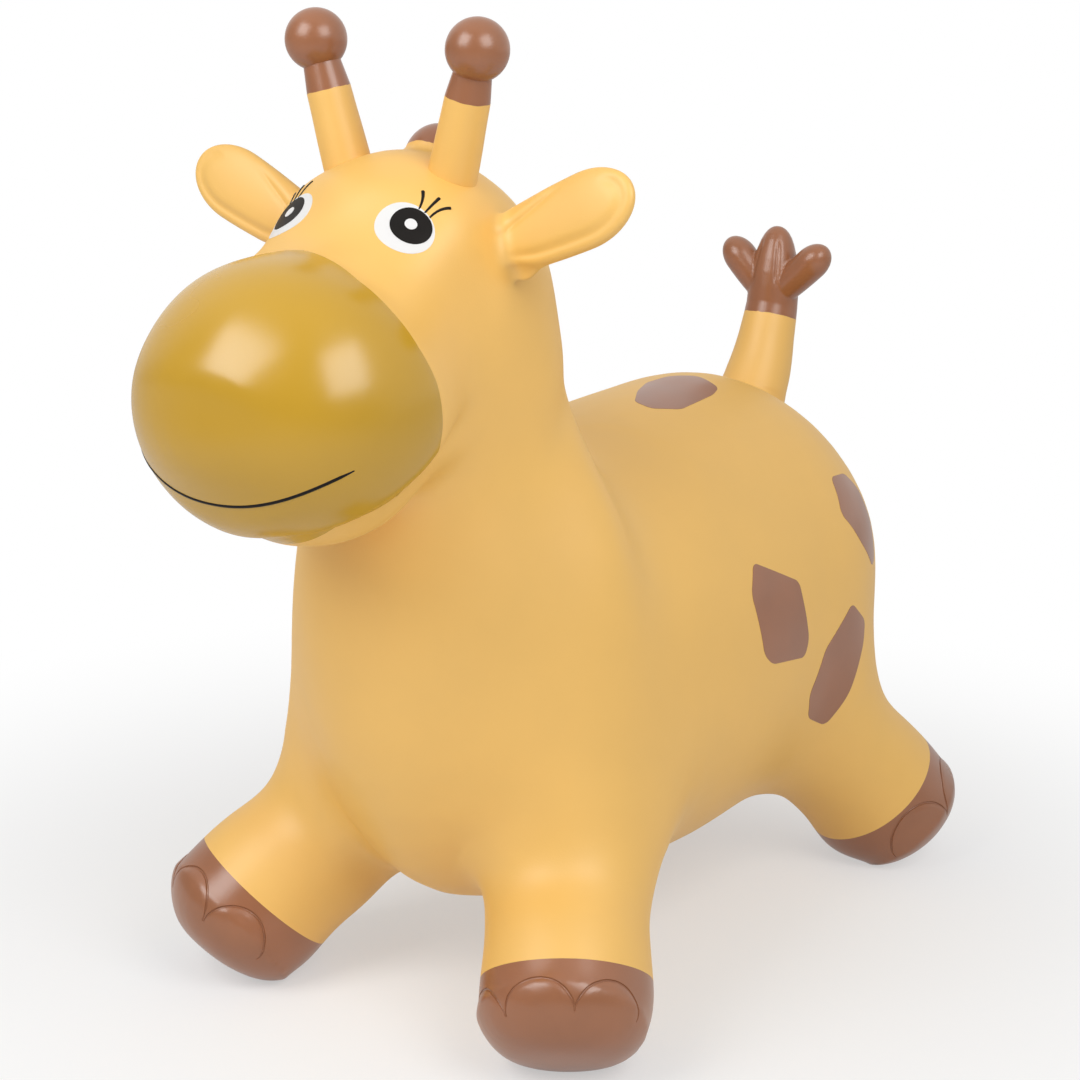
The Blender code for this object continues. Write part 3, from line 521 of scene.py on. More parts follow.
for limb in LIMBS:
    ankle, forward = (Vector(value) for value in seam(f"{limb}_hoof", f"{limb}_leg"))
    side = forward.cross(Vector((0.0, 0.0, 1.0))).normalized()
    up = side.cross(forward)
    start, cosine, sine = HOOF_TILTS[limb]
    middle = ankle + forward * start
    normal = (forward - up * (cosine / HOOF_GIRTH) - side * (sine / HOOF_GIRTH)).normalized()
    cuts = [(np.array(middle), np.array(normal))]
    hoof = part_off(
        skin, f"{limb}_hoof_painted", cuts,
        lambda points: np.linalg.norm(points - np.array(ankle), axis=1) < HOOF_REACH,
    )
    finish_with(hoof, "SUBSURF", levels=1, render_levels=1)
    points = corners_of(hoof)
    from_ankle = points - np.array(ankle)
    turns = np.degrees(np.arctan2(from_ankle @ np.array(side), from_ankle @ np.array(up)))
    alongs = from_ankle @ np.array(forward)
    swell = np.zeros(len(points))
    peak, half_angle = TOE_PEAKS[limb], TOE_HALF_ANGLE[limb]
    for angle in TOE_ANGLES[limb]:
        aside = np.clip(np.abs((turns - angle + 180) % 360 - 180) / half_angle, 0, 1)
        arch = peak + (TOE_ENDS - peak) * (1 - np.sqrt(1 - aside ** 2))
        swell += step_up(alongs - arch, 0.0, TOE_EDGE) * (1 - aside ** 4) * (1 - step_up(alongs, *TOE_FADE))
    outward = from_ankle - np.outer(alongs, forward)
    outward /= np.linalg.norm(outward, axis=1)[:, None] + WELD
    put_corners(hoof, points + outward * (swell * TOE_SWELL)[:, None])
    close_ends(hoof)
    for angle in TOE_ANGLES[limb]:
        line, radii = [], []
        for step in range(TOE_STEPS + 1):
            share = math.sin(math.pi / 2 * (2 * step / TOE_STEPS - 1))
            turn = math.radians(angle + half_angle * share)
            along = peak + (TOE_ENDS - peak) * (1 - math.sqrt(max(1 - share * share, 0)))
            around = up * math.cos(turn) + side * math.sin(turn)
            line.append(ankle + forward * along + around * HOOF_GIRTH)
            from_end = min(step, TOE_STEPS - step)
            radii.append(GROOVE_RADIUS * min(1.0, GROOVE_START + GROOVE_GROWTH * from_end))
        cutter = thread_on_skin("toe_cutter", line, radii, GROOVE_SINK)
        finish_with(hoof, "BOOLEAN", operation="DIFFERENCE", object=cutter, solver="EXACT")
        bpy.data.objects.remove(cutter)
    creased(hoof)
    dress(hoof, brown, "painted_brown", "skin", f"{limb}_hoof")

# Legs: short stout cones that splay outwards, of the same yellow vinyl as the rest of the skin. They are
# blown with the trunk, and fill out to the belly in a wide fillet.
LIMB_GIRTH, LIMB_REACH = 0.066, 0.09


def settle(piece, node, material, slot):
    """Closes the piece's cut ends, shades it as the whole skin is, and seats it in place of its node."""
    close_ends(piece)
    finish_with(
        piece, "DATA_TRANSFER", object=skin_shades, use_loop_data=True,
        data_types_loops={"CUSTOM_NORMAL"}, loop_mapping="POLYINTERP_NEAREST",
    )
    dress(piece, material, slot, "skin", node)


for limb in LIMBS:
    middle, normal = seam(f"{limb}_leg", "trunk")
    cuts = [(middle, normal)]

    def near_leg(points):
        along = (points - middle) @ normal
        radial = np.linalg.norm(points - middle - np.outer(along, normal), axis=1)
        return (radial < LIMB_GIRTH) & (abs(along) < LIMB_REACH)

    leg = part_off(skin, f"{limb}_leg_vinyl", cuts, near_leg)
    settle(leg, f"{limb}_leg", yellow, "skin_yellow")

# Muzzle: the big round nose, sprayed glossy mustard up to a masked line that runs over the bridge and
# down the cheeks, and comes forward under the chin.
MUZZLE_LINE = (
    (0.0, -0.2290, 0.4780), (0.0437, -0.2373, 0.4666), (0.0639, -0.2355, 0.4525),
    (0.0790, -0.2316, 0.4339), (0.0862, -0.2258, 0.4152), (0.0877, -0.2226, 0.3940),
    (0.0836, -0.2210, 0.3759), (0.0745, -0.2230, 0.3605), (0.0690, -0.2330, 0.3512),
    (0.0575, -0.2540, 0.3414), (0.0462, -0.2600, 0.3346), (0.0, -0.2570, 0.3185),
)
MUZZLE_BACK, MUZZLE_FOOT = -0.19, 0.30
BAND_LAP, SIDE_LAP = 0.03, 0.003
mustard = vinyl("mustard_paint", (0.525, 0.294, 0.009), 0.25, 0.05, 9.0, 0.12, shine=0.75)


def turned_down(points):
    """Angle round the muzzle's middle, from straight up to straight down on either side."""
    return np.arctan2(np.abs(points[:, 0]), points[:, 2] - MUZZLE_MIDDLE[2])


bands = []
for first, second in zip(MUZZLE_LINE[:-1], MUZZLE_LINE[1:]):
    middle = (np.array(first) + np.array(second)) / 2
    outward = middle * (1, 0, 1) - MUZZLE_MIDDLE * (0, 0, 1)
    normal = np.cross(np.array(second) - np.array(first), outward)
    normal *= np.sign((MUZZLE_MIDDLE - middle) @ normal) / np.linalg.norm(normal)
    bands.append((middle, normal, *turned_down(np.array((first, second)))))


def near_muzzle(points):
    return (points[:, 1] < MUZZLE_BACK) & (points[:, 2] > MUZZLE_FOOT)


def painted(points, _):
    """Which of the faces lie within the masked line: each is held against the stretch beside it."""
    folded = points * np.where(points[:, :1] < 0, (-1, 1, 1), (1, 1, 1))
    inside, turns = np.zeros(len(points), bool), turned_down(points)
    for middle, normal, low, high in bands:
        inside |= (turns >= low) & (turns <= high) & ((folded - middle) @ normal > 0)
    return near_muzzle(points) & inside


def beside(points, side, low, high):
    """Which of the faces lie beside one stretch of the line, on one side of the animal."""
    turns = turned_down(points)
    lapped = (turns > low - BAND_LAP) & (turns < high + BAND_LAP)
    return near_muzzle(points) & lapped & (points[:, 0] * side > -SIDE_LAP)


for side in (1, -1):
    for middle, normal, low, high in bands:
        choose(skin, lambda points, _: beside(points, side, low, high))
        bpy.ops.mesh.bisect(plane_co=middle * (side, 1, 1), plane_no=normal * (side, 1, 1))
        bpy.ops.object.mode_set(mode="OBJECT")
choose(skin, painted)
bpy.ops.mesh.separate(type="SELECTED")
bpy.ops.object.mode_set(mode="OBJECT")
muzzle = next(other for other in bpy.context.selected_objects if other != skin)
muzzle.name = "muzzle_painted"
settle(muzzle, "muzzle", mustard, "muzzle_mustard")

# Head, neck and trunk: what is left of the one yellow skin once the painted pieces are off it. Each is
# parted from the next where one form of the moulding flows into the other.
HEAD_FOOT, NECK_FOOT, SLIVER = 0.25, 0.20, 0.00025
head = part_off(skin, "head_vinyl", [seam("head", "neck")], lambda points: points[:, 2] > HEAD_FOOT, SLIVER)
neck = part_off(skin, "neck_vinyl", [seam("neck", "trunk")], lambda points: points[:, 2] > NECK_FOOT, SLIVER)
trunk = skin
trunk.name = "trunk_vinyl"
for piece, node in ((head, "head"), (neck, "neck"), (trunk, "trunk")):
    settle(piece, node, yellow, "skin_yellow")

# Ears: soft leaves blown with the head. Each has a plump pad inside a thin rim, a fold that runs from the
# root to the upper edge, and a gusset that carries the back of its lower edge down on to the cheek.
EAR_ROOTS = {"left": Vector((0.065, -0.14096, 0.4715)), "right": Vector((0.065, -0.14096, 0.4675))}
EAR_LIFT, EAR_TILT = math.radians(24), math.radians(14)
EAR_SHOULDER, EAR_LENGTH = 0.064, 0.0965
EAR_HALF_WIDTH, EAR_HALF_THICKNESS = 0.0213, 0.0082
EAR_NARROWING, EAR_NARROWING_REACH, EAR_NARROWING_CURVE = 0.0034, 0.050, 1.6
EAR_THINNING, EAR_FULLNESS, EAR_TIP_FULLNESS = 0.15, 0.8, 0.85
EAR_FRONT = (0.05, 0.35)
EAR_SWAY = -0.0013
EAR_STRAIGHT_RINGS = 0.72
EAR_REACHES = ((0.0, -0.022), (0.04, -0.014), (0.42, 0.014), (0.72, 0.064))
EAR_SEGMENTS, EAR_RINGS = 144, 150
EAR_GUSSET, EAR_GUSSET_PLACE, EAR_GUSSET_SPREAD, EAR_GUSSET_TURNS = 0.0085, 0.013, 0.0105, (-0.15, 0.75)
EAR_FILLET, EAR_SHADED = 0.0068, 0.0150
EAR_PINCH, EAR_PINCH_REACH, EAR_PINCH_TURNS = 0.0040, (0.004, 0.034), (-0.3, 0.3)
RIM_INSET, TIP_INSET, RIM_GROOVE, RIM_GROOVE_WIDTH = 0.0064, 0.0030, 0.0015, 0.0026
RIM_TIP, RIM_TURNS, RIM_REACH = 0.9, (-0.2, 0.3), (0.006, 0.026)
FOLD_START, FOLD_SLOPE = -0.0005, -0.305
FOLD_RISES, FOLD_FADES = (0.002, 0.012), (0.036, 0.060)
FOLD_DEPTH, FOLD_WIDTH = 0.0012, 0.0014
ROLL_RISE, ROLL_PLACE, ROLL_WIDTH = 0.0007, -0.0045, 0.0030
SKIN_REACH, SHADE_CURVE = 4, 1.5


def fillet_on_skin(piece, root, along, fillet, shaded):
    """Spreads the foot of a piece into a round fillet that runs out on to the skin, less where the two
    meet flatly, and marks how much of the skin's shading each corner takes."""
    points = corners_of(piece)
    blend = piece.vertex_groups.new(name="skin_shading")
    for index, point in enumerate(points):
        point = Vector(point)
        place, normal, _, _ = skin_tree.find_nearest(point, SKIN_REACH * shaded)
        if place is None:
            continue
        height = (point - place).dot(normal)
        if height < shaded:
            blend.add([index], (1 - max(height, 0.0) / shaded) ** SHADE_CURVE, "REPLACE")
        away = point - root
        away -= along * away.dot(along)
        if height >= fillet or away.length < fillet / 10:
            continue
        away.normalize()
        away -= normal * away.dot(normal)
        steepness = min(away.length_squared, 1.0)
        turn = (1 - max(height, 0.0) / fillet) * math.pi / 2
        spread = point + away.normalized() * steepness * fillet * (1 - math.cos(turn))
        place, normal, _, _ = skin_tree.find_nearest(spread)
        rounded = min(height, 0.0) + fillet * (1 - math.sin(turn))
        points[index] = place + normal * (height + (rounded - height) * steepness)
    put_corners(piece, points)


def shade_like_skin(piece):
    """Shades the foot of a piece's fillet as the skin that it runs out on to."""
    finish_with(
        piece, "DATA_TRANSFER", object=skin_shades, use_loop_data=True, data_types_loops={"CUSTOM_NORMAL"},
        loop_mapping="POLYINTERP_NEAREST", vertex_group="skin_shading",
    )
    piece.vertex_groups.clear()


for hand, side in (("left", 1), ("right", -1)):
    bpy.ops.object.select_all(action="DESELECT")
    bpy.ops.mesh.primitive_uv_sphere_add(segments=EAR_SEGMENTS, ring_count=EAR_RINGS, radius=1.0)
    ear = bpy.context.object
    ear.name = f"{hand}_ear_vinyl"
    ball = corners_of(ear)
    along = Vector((math.cos(EAR_LIFT), 0, math.sin(EAR_LIFT)))
    face = Vector((0, -math.cos(EAR_TILT), 0))
    face += Vector((-math.sin(EAR_LIFT), 0, math.cos(EAR_LIFT))) * math.sin(EAR_TILT)
    down = along.cross(face)
    rings = np.arccos(np.clip(-ball[:, 2], -1, 1)) / math.pi
    tip = np.clip((rings - EAR_STRAIGHT_RINGS) / (1 - EAR_STRAIGHT_RINGS), 0, 1) * math.pi / 2
    reach = np.interp(rings, *zip(*EAR_REACHES))
    reach += np.sin(tip) * (EAR_LENGTH - EAR_SHOULDER)
    to_shoulder = np.clip(EAR_SHOULDER - reach, 0, None) / EAR_NARROWING_REACH
    full = EAR_HALF_WIDTH - EAR_NARROWING * to_shoulder ** EAR_NARROWING_CURVE
    open_end = rings > 0.5 / EAR_RINGS
    thickness = EAR_HALF_THICKNESS * (1 - EAR_THINNING * reach / EAR_LENGTH)
    thickness *= np.cos(tip) ** EAR_TIP_FULLNESS * open_end
    ring = np.arctan2(ball[:, 1], ball[:, 0])
    high, wide = np.sin(ring), np.cos(ring)
    place_down = wide * full * np.cos(tip) * open_end
    place_face = np.sign(high) * np.abs(high) ** EAR_FULLNESS * thickness
    inner = step_up(high, *EAR_FRONT)
    inset = (1 - np.hypot(np.sin(tip), wide * np.cos(tip))) * full
    to_rim = wide * np.cos(tip) + RIM_TIP * np.sin(tip)
    round_rim = step_up(to_rim, *RIM_TURNS) * step_up(reach, *RIM_REACH)
    groove = RIM_INSET + (TIP_INSET - RIM_INSET) * np.sin(tip) ** 2
    groove_width = RIM_GROOVE_WIDTH * groove / RIM_INSET
    groove_depth = inner * round_rim * RIM_GROOVE * groove / RIM_INSET
    place_face -= groove_depth * np.exp(-(((inset - groove) / groove_width) ** 2))
    from_fold = place_down - FOLD_START - FOLD_SLOPE * reach
    folded = inner * step_up(reach, *FOLD_RISES) * (1 - step_up(reach, *FOLD_FADES))
    place_face -= folded * FOLD_DEPTH * np.exp(-np.abs(from_fold) / FOLD_WIDTH)
    place_face += folded * ROLL_RISE * np.exp(-(((from_fold - ROLL_PLACE) / ROLL_WIDTH) ** 2))
    gusset = EAR_GUSSET * np.exp(-(((reach - EAR_GUSSET_PLACE) / EAR_GUSSET_SPREAD) ** 2))
    gusset *= step_up(-high, *EAR_GUSSET_TURNS)
    pinch = EAR_PINCH * (1 - step_up(reach, *EAR_PINCH_REACH)) * step_up(high, *EAR_PINCH_TURNS)
    place_down += EAR_SWAY + np.clip(wide, 0, 1) * (gusset - pinch)
    shape = np.array(EAR_ROOTS[hand]) + np.outer(reach, along) + np.outer(place_down, down)
    shape += np.outer(place_face, face)
    shape[:, 0] *= side
    put_corners(ear, shape)
    only(ear)
    bpy.ops.object.mode_set(mode="EDIT")
    bpy.ops.mesh.select_all(action="SELECT")
    bpy.ops.mesh.normals_make_consistent(inside=False)
    bpy.ops.object.mode_set(mode="OBJECT")
    root, along = (Vector((way.x * side, way.y, way.z)) for way in (EAR_ROOTS[hand], along))
    relax(ear, 2)
    fillet_on_skin(ear, root, along, EAR_FILLET, EAR_SHADED)
    smooth_shaded(ear)
    shade_like_skin(ear)
    dress(ear, yellow, "skin_yellow", None, f"{hand}_ear_root", f"{hand}_ear")
    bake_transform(ear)

# Horns: stalks of yellow vinyl that stand out of the crown in a crisp crease, each ending in a round knob.
# Knob and collar are dipped brown; the dip line is a little uneven.
HORN_BASE = Vector((0.03742, -0.14396, 0.5141))
HORN_LEAN, HORN_NOD = math.radians(15.5), math.radians(2)
HORN_BURIED, HORN_CROWDED, HORN_LINE = 0.020, 0.009, 0.0417
HORN_GIRTHS = ((-0.020, 0.0140), (0.0, 0.0140), (0.015, 0.0136), (0.030, 0.0130), (0.0417, 0.0127))
COLLAR_RADIUS, COLLAR_STEPS = 0.0108, 5
KNOB_RADIUS, KNOB_STEPS = 0.0177, 24
KNOB_HEIGHTS = {"left": 0.0692, "right": 0.0708}
LINE_WANDER, LINE_FOUND = 0.00022, 0.0001
LINE_WAVES = ((3, 1.0, 0.0), (7, 0.7, 1.0), (16, 0.5, 0.0))


def drawn(name, stations, origin, direction, segments=64, drift=None):
    """A round form drawn up from a disc through stations: height along the direction, and radius."""
    bpy.ops.object.select_all(action="DESELECT")
    height, radius = stations[0]
    bpy.ops.mesh.primitive_circle_add(vertices=segments, radius=radius, fill_type="TRIFAN")
    piece = bpy.context.object
    piece.name = name
    bpy.ops.object.mode_set(mode="EDIT")
    bpy.ops.mesh.select_all(action="SELECT")
    bpy.ops.transform.translate(value=(0.0, 0.0, height))
    aside = 0.0
    for next_height, next_radius in stations[1:]:
        step = drift(next_height) - aside if drift else 0.0
        aside += step
        rise = {"value": (0.0, step, next_height - height)}
        bpy.ops.mesh.extrude_region_move(TRANSFORM_OT_translate=rise)
        share = next_radius / radius
        bpy.ops.transform.resize(value=(share, share, 1.0), center_override=(0.0, aside, next_height))
        height, radius = next_height, next_radius
    bpy.ops.mesh.select_all(action="SELECT")
    bpy.ops.mesh.normals_make_consistent(inside=False)
    bpy.ops.object.mode_set(mode="OBJECT")
    frame_y = direction.cross(Vector((1.0, 0.0, 0.0))).normalized()
    turn = Matrix((frame_y.cross(direction), frame_y, direction)).transposed().to_4x4()
    piece.data.transform(Matrix.Translation(origin) @ turn)
    piece.data.update()
    return piece


def stalk_rings(girths, low, crowded, high, line, near_skin=32, above=16):
    """Heights and radii of a stalk's rings, close together where it meets the skin."""
    heights = [low, *np.linspace(crowded, high, near_skin), *np.linspace(high, line, above + 1)[1:]]
    return list(zip(heights, np.interp(heights, *zip(*girths)).tolist()))


def wander(piece, origin, direction, height, size, turn=0.0):
    """Moves the corners at this height up and down a little, as the edge of paint put on by hand."""
    points = corners_of(piece)
    offset = points - np.array(origin)
    level = offset @ np.array(direction)
    angle = np.arctan2(offset[:, 1], offset[:, 0]) + turn
    sway = sum(swing * np.sin(count * angle + start) for count, swing, start in LINE_WAVES)
    moved = np.abs(level - height) < LINE_FOUND
    put_corners(piece, points + np.outer(np.where(moved, sway * size, 0.0), direction))


def knob_stations(radius, centre, low_radius, steps):
    """Stations round a ball from where it leaves its collar to its top."""
    last = math.pi - math.asin(low_radius / radius)
    stations = []
    for step in range(steps):
        turn = last * (steps - step) / steps
        stations.append((centre + radius * math.cos(turn), radius * math.sin(turn)))
    return stations + [(centre + radius, radius / 50)]


for hand, side in (("left", 1), ("right", -1)):
    direction = Vector((side * math.sin(HORN_LEAN), -math.sin(HORN_NOD), math.cos(HORN_LEAN))).normalized()
    base = Vector((HORN_BASE.x * side, HORN_BASE.y, HORN_BASE.z))
    rings = stalk_rings(HORN_GIRTHS, -HORN_BURIED, -HORN_CROWDED, HORN_CROWDED, HORN_LINE)
    stalk = drawn(f"{hand}_horn_vinyl", rings, base, direction)
    wander(stalk, base, direction, HORN_LINE, LINE_WANDER, side)
    creased(stalk)
    dress(stalk, yellow, "skin_yellow", None, f"{hand}_horn_root", f"{hand}_horn")
    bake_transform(stalk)
    line_radius = HORN_GIRTHS[-1][1]
    collar_top = KNOB_HEIGHTS[hand] - math.sqrt(KNOB_RADIUS ** 2 - COLLAR_RADIUS ** 2)
    tip_stations = [(HORN_LINE, line_radius)]
    for step in range(1, COLLAR_STEPS):
        share = step / COLLAR_STEPS
        girth = line_radius + (COLLAR_RADIUS - line_radius) * share
        tip_stations.append((HORN_LINE + (collar_top - HORN_LINE) * share, girth))
    tip_stations += knob_stations(KNOB_RADIUS, KNOB_HEIGHTS[hand], COLLAR_RADIUS, KNOB_STEPS)
    tip = drawn(f"{hand}_horn_knob", tip_stations, base, direction)
    wander(tip, base, direction, HORN_LINE, LINE_WANDER, side)
    creased(tip)
    dress(tip, brown, "painted_brown", f"{hand}_horn", f"{hand}_horn_tip")

# Mane: one short tuft on the back of the crown, moulded with the head. It stands on a yellow pedestal, and
# is sprayed brown above a line round its foot.
MANE_FOOT = Vector((0.0, -0.11296, 0.511))
MANE_LEAN = math.radians(38)
MANE_GIRTH, MANE_BURIED = 0.0186, 0.016
MANE_LINE, MANE_RINGS = 0.0055, 44
MANE_TOP, MANE_STEPS, MANE_TIP = 0.0262, 18, 0.0004
MANE_FILLET = 0.0040
mane_way = Vector((0.0, math.sin(MANE_LEAN), math.cos(MANE_LEAN)))
pedestal_heights = np.linspace(-MANE_BURIED, MANE_LINE, MANE_RINGS).tolist()
pedestal_rings = [(height, MANE_GIRTH) for height in pedestal_heights]
pedestal = drawn("mane_pedestal", pedestal_rings, MANE_FOOT, mane_way)
fillet_on_skin(pedestal, MANE_FOOT, mane_way, MANE_FILLET, MANE_FILLET)
wander(pedestal, MANE_FOOT, mane_way, MANE_LINE, LINE_WANDER)
creased(pedestal)
shade_like_skin(pedestal)
dress(pedestal, yellow, "skin_yellow", "skin")
dome = [(MANE_LINE, MANE_GIRTH)]
for step in range(1, MANE_STEPS + 1):
    turn = math.pi / 2 * step / MANE_STEPS
    height = MANE_LINE + (MANE_TOP - MANE_LINE) * math.sin(turn)
    dome.append((height, max(MANE_GIRTH * math.cos(turn), MANE_TIP)))
mane = drawn("mane_tuft", dome, MANE_FOOT, mane_way)
wander(mane, MANE_FOOT, mane_way, MANE_LINE, LINE_WANDER)
creased(mane)
dress(mane, brown, "painted_brown", "skin", "mane")

# Tail: a stub of yellow vinyl that flares out of the rump and is moulded with it. It ends in a tuft of
# three fat lobes pressed into each other, sprayed brown.
TAIL_BASE = Vector((0.0, 0.26803, 0.31801))
TAIL_LEAN, TUFT_LEAN = math.radians(19), math.radians(8)
TAIL_BURIED, TAIL_LINE = 0.030, 0.052
TAIL_CROWDED, TAIL_CROWDED_RINGS = (-0.024, 0.018), 44
TAIL_GIRTHS = (
    (-0.030, 0.0240), (0.0, 0.0236), (0.012, 0.0226), (0.024, 0.0212), (0.038, 0.0197), (0.052, 0.0187),
)
TAIL_FILLET = 0.0075
TAIL_BOW, TAIL_BOWED = 0.0050, 0.034
TUFT_LENGTH, TUFT_BURIED, TUFT_KNEE = 0.063, 0.004, 0.006
TUFT_GIRTHS = (
    (0.0, 1.0), (0.12, 0.975), (0.30, 0.96), (0.45, 0.93), (0.60, 0.85), (0.72, 0.75), (0.82, 0.64),
    (0.89, 0.53), (0.94, 0.41), (0.975, 0.28), (0.993, 0.15), (1.0, 0.02),
)
LOBE_RISE, LOBE_RADIUS, LOBE_ROUND = 0.0115, 0.0117, 0.0165
LOBES = ((1, math.radians(43), 0.0590), (-1, math.radians(48.5), 0.0550))
LOBE_STEPS, LOBE_ROUND_STEPS, LOBE_WAIST, LOBE_TIP = 8, 18, 0.25, 0.02
TUFT_VOXEL, TUFT_ROUNDS = 0.0009, 3
TUFT_DENT, TUFT_DENT_WIDTH, TUFT_DENT_TURN = 0.0011, 0.0016, math.radians(34)
TUFT_DENT_STARTS, TUFT_DENT_ENDS, TUFT_DENT_GIRTH = (0.020, 0.032), (0.046, 0.058), 1.05
tail_way = Vector((0.0, math.sin(TAIL_LEAN), math.cos(TAIL_LEAN)))
tuft_way = Vector((0.0, math.sin(TUFT_LEAN), math.cos(TUFT_LEAN)))
line_radius = TAIL_GIRTHS[-1][1]
stem = drawn(
    "tail_vinyl", stalk_rings(TAIL_GIRTHS, -TAIL_BURIED, *TAIL_CROWDED, TAIL_LINE, TAIL_CROWDED_RINGS),
    TAIL_BASE, tail_way,
    drift=lambda height: -TAIL_BOW * (1 - min(max(height, 0.0) / TAIL_BOWED, 1.0)) ** 2,
)
fillet_on_skin(stem, TAIL_BASE, tail_way, TAIL_FILLET, TAIL_FILLET)
wander(stem, TAIL_BASE, tail_way, TAIL_LINE, LINE_WANDER)
creased(stem)
shade_like_skin(stem)
dress(stem, yellow, "skin_yellow", None, "tail_root", "tail")
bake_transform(stem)

line_point = TAIL_BASE + tail_way * TAIL_LINE
slant = math.tan(TAIL_LEAN - TUFT_LEAN)
tuft_stations = [(-TUFT_BURIED, line_radius)]
tuft_stations += [(share * TUFT_LENGTH, girth * line_radius) for share, girth in TUFT_GIRTHS]
tuft = drawn(
    "tail_tuft_painted", tuft_stations, line_point, tail_way,
    drift=lambda height: -slant * max(height - TUFT_KNEE, 0.0),
)
lobes = []
for side, lift, length in LOBES:
    way = Vector((side * math.cos(lift), 0.0, math.sin(lift)))
    widest = length - LOBE_ROUND
    lobe_stations = []
    for step in range(LOBE_STEPS):
        waist = LOBE_WAIST * (1 - step / LOBE_STEPS) ** 2
        lobe_stations.append((widest * step / LOBE_STEPS, LOBE_RADIUS * (1 - waist)))
    for step in range(LOBE_ROUND_STEPS + 1):
        turn = math.pi / 2 * step / LOBE_ROUND_STEPS
        girth = LOBE_RADIUS * max(math.cos(turn), LOBE_TIP)
        lobe_stations.append((widest + LOBE_ROUND * math.sin(turn), girth))
    lobes.append(drawn("lobe", lobe_stations, line_point + tuft_way * LOBE_RISE, way, segments=48))
only(*lobes, tuft)
bpy.ops.object.join()
finish_with(tuft, "REMESH", mode="VOXEL", voxel_size=TUFT_VOXEL)
outer_shell(tuft)
relax(tuft, TUFT_ROUNDS)

# Shallow dents part the middle lobe into strands.
points = corners_of(tuft)
offset = points - np.array(line_point)
level = offset @ np.array(tuft_way)
radial = offset - np.outer(level, tuft_way)
distance = np.linalg.norm(radial, axis=1)
turns = np.arctan2(np.abs(radial[:, 0]), np.abs(radial[:, 1]))
from_dent = distance * np.sin(np.abs(turns - TUFT_DENT_TURN))
reach = step_up(level, *TUFT_DENT_STARTS) * (1 - step_up(level, *TUFT_DENT_ENDS))
reach *= distance < TUFT_DENT_GIRTH * line_radius
dent = TUFT_DENT * reach * np.exp(-((from_dent / TUFT_DENT_WIDTH) ** 2))
put_corners(tuft, points - radial * (dent / (distance + WELD))[:, None])
choose(tuft, lambda points, _: np.ones(len(points), bool))
bpy.ops.mesh.bisect(plane_co=line_point, plane_no=tail_way, use_fill=True, clear_inner=True)
bpy.ops.object.mode_set(mode="OBJECT")
wander(tuft, TAIL_BASE, tail_way, TAIL_LINE, LINE_WANDER)
creased(tuft)
dress(tuft, brown, "painted_brown", "tail", "tail_tuft")

# Spots: brown patches with straight sides and rounded corners, printed on the flanks and the back. Each is
# a thin film of paint that follows the skin and stands a fraction of a millimetre proud of it.
FILM_DEPTH, FILM_LIFT = 0.0006, 0.00018
FILM_CREASE, FILM_FACING = math.radians(50), 0.1
SPOT_ROUNDING, SPOT_REACH = 0.0045, 0.062


def film(name, centre, away, outline, rounding, layer, material, slot, reach):
    """A film of paint on the skin: the skin near centre, thickened a little, within the outline that is
    given in metres across and up, as seen along away."""
    away = Vector(away).normalized()
    across = Vector((0.0, 0.0, 1.0)).cross(away).normalized()
    up = away.cross(across)
    centre = Vector(centre)
    only(skin_shades)
    bpy.ops.object.duplicate()
    piece = bpy.context.object
    piece.name = name

    def outside(points, normals):
        far = np.linalg.norm(points - np.array(centre), axis=1) > reach
        return far | (normals @ np.array(away) < FILM_FACING)

    choose(piece, outside)
    bpy.ops.mesh.delete(type="FACE")
    bpy.ops.object.mode_set(mode="OBJECT")
    lift = FILM_LIFT * layer
    finish_with(piece, "SOLIDIFY", thickness=FILM_DEPTH + lift, offset=2 * lift / (FILM_DEPTH + lift) - 1)
    bpy.ops.object.select_all(action="DESELECT")
    bpy.ops.mesh.primitive_circle_add(vertices=len(outline), radius=reach, fill_type="NGON")
    stencil = bpy.context.object
    for corner, (right, high) in zip(stencil.data.vertices, outline):
        corner.co = centre + across * right + up * high - away * reach
    bpy.ops.object.mode_set(mode="EDIT")
    bpy.ops.mesh.select_all(action="SELECT")
    if rounding:
        bpy.ops.mesh.bevel(offset=rounding, affect="VERTICES", segments=5)
        bpy.ops.mesh.select_all(action="SELECT")
    bpy.ops.mesh.extrude_region_move(TRANSFORM_OT_translate={"value": away * 2 * reach})
    bpy.ops.mesh.select_all(action="SELECT")
    bpy.ops.mesh.normals_make_consistent(inside=False)
    bpy.ops.object.mode_set(mode="OBJECT")
    finish_with(piece, "BOOLEAN", operation="INTERSECT", object=stencil, solver="EXACT")
    bpy.data.objects.remove(stencil)
    creased(piece, FILM_CREASE)
    dress(piece, material, slot, "skin")


MM = 0.001
SPOTS = {
    "flank_front": (
        (0.1270, 0.0811, 0.2200), (0.988, -0.011, 0.156),
        ((-22, 37), (25.5, 14), (33.5, -26), (28, -37), (-15, -30.5), (-24.5, -22), (-32, 18)),
    ),
    "flank_low": (
        (0.1298, 0.1536, 0.1655), (0.999, -0.050, 0.001),
        ((22, 37), (43.5, 19.5), (39, 6), (14.6, -22.5), (-7, -41), (-28, -30), (-32, -12), (-16, 15)),
    ),
    "flank_high": (
        (0.1166, 0.1966, 0.2570), (0.921, 0.169, 0.351),
        ((-9, 30), (16, 27), (36, 10), (44, -14), (36, -38), (24, -41), (3, -21), (-18, 5)),
    ),
    "back": (
        (0.0195, 0.1263, 0.3411), (0.170, -0.014, 0.985),
        ((-41, 4), (-18, 19), (10, 32), (34, 32), (47, 17), (38, -7), (24, -13), (-22, -20), (-42, -10)),
    ),
}
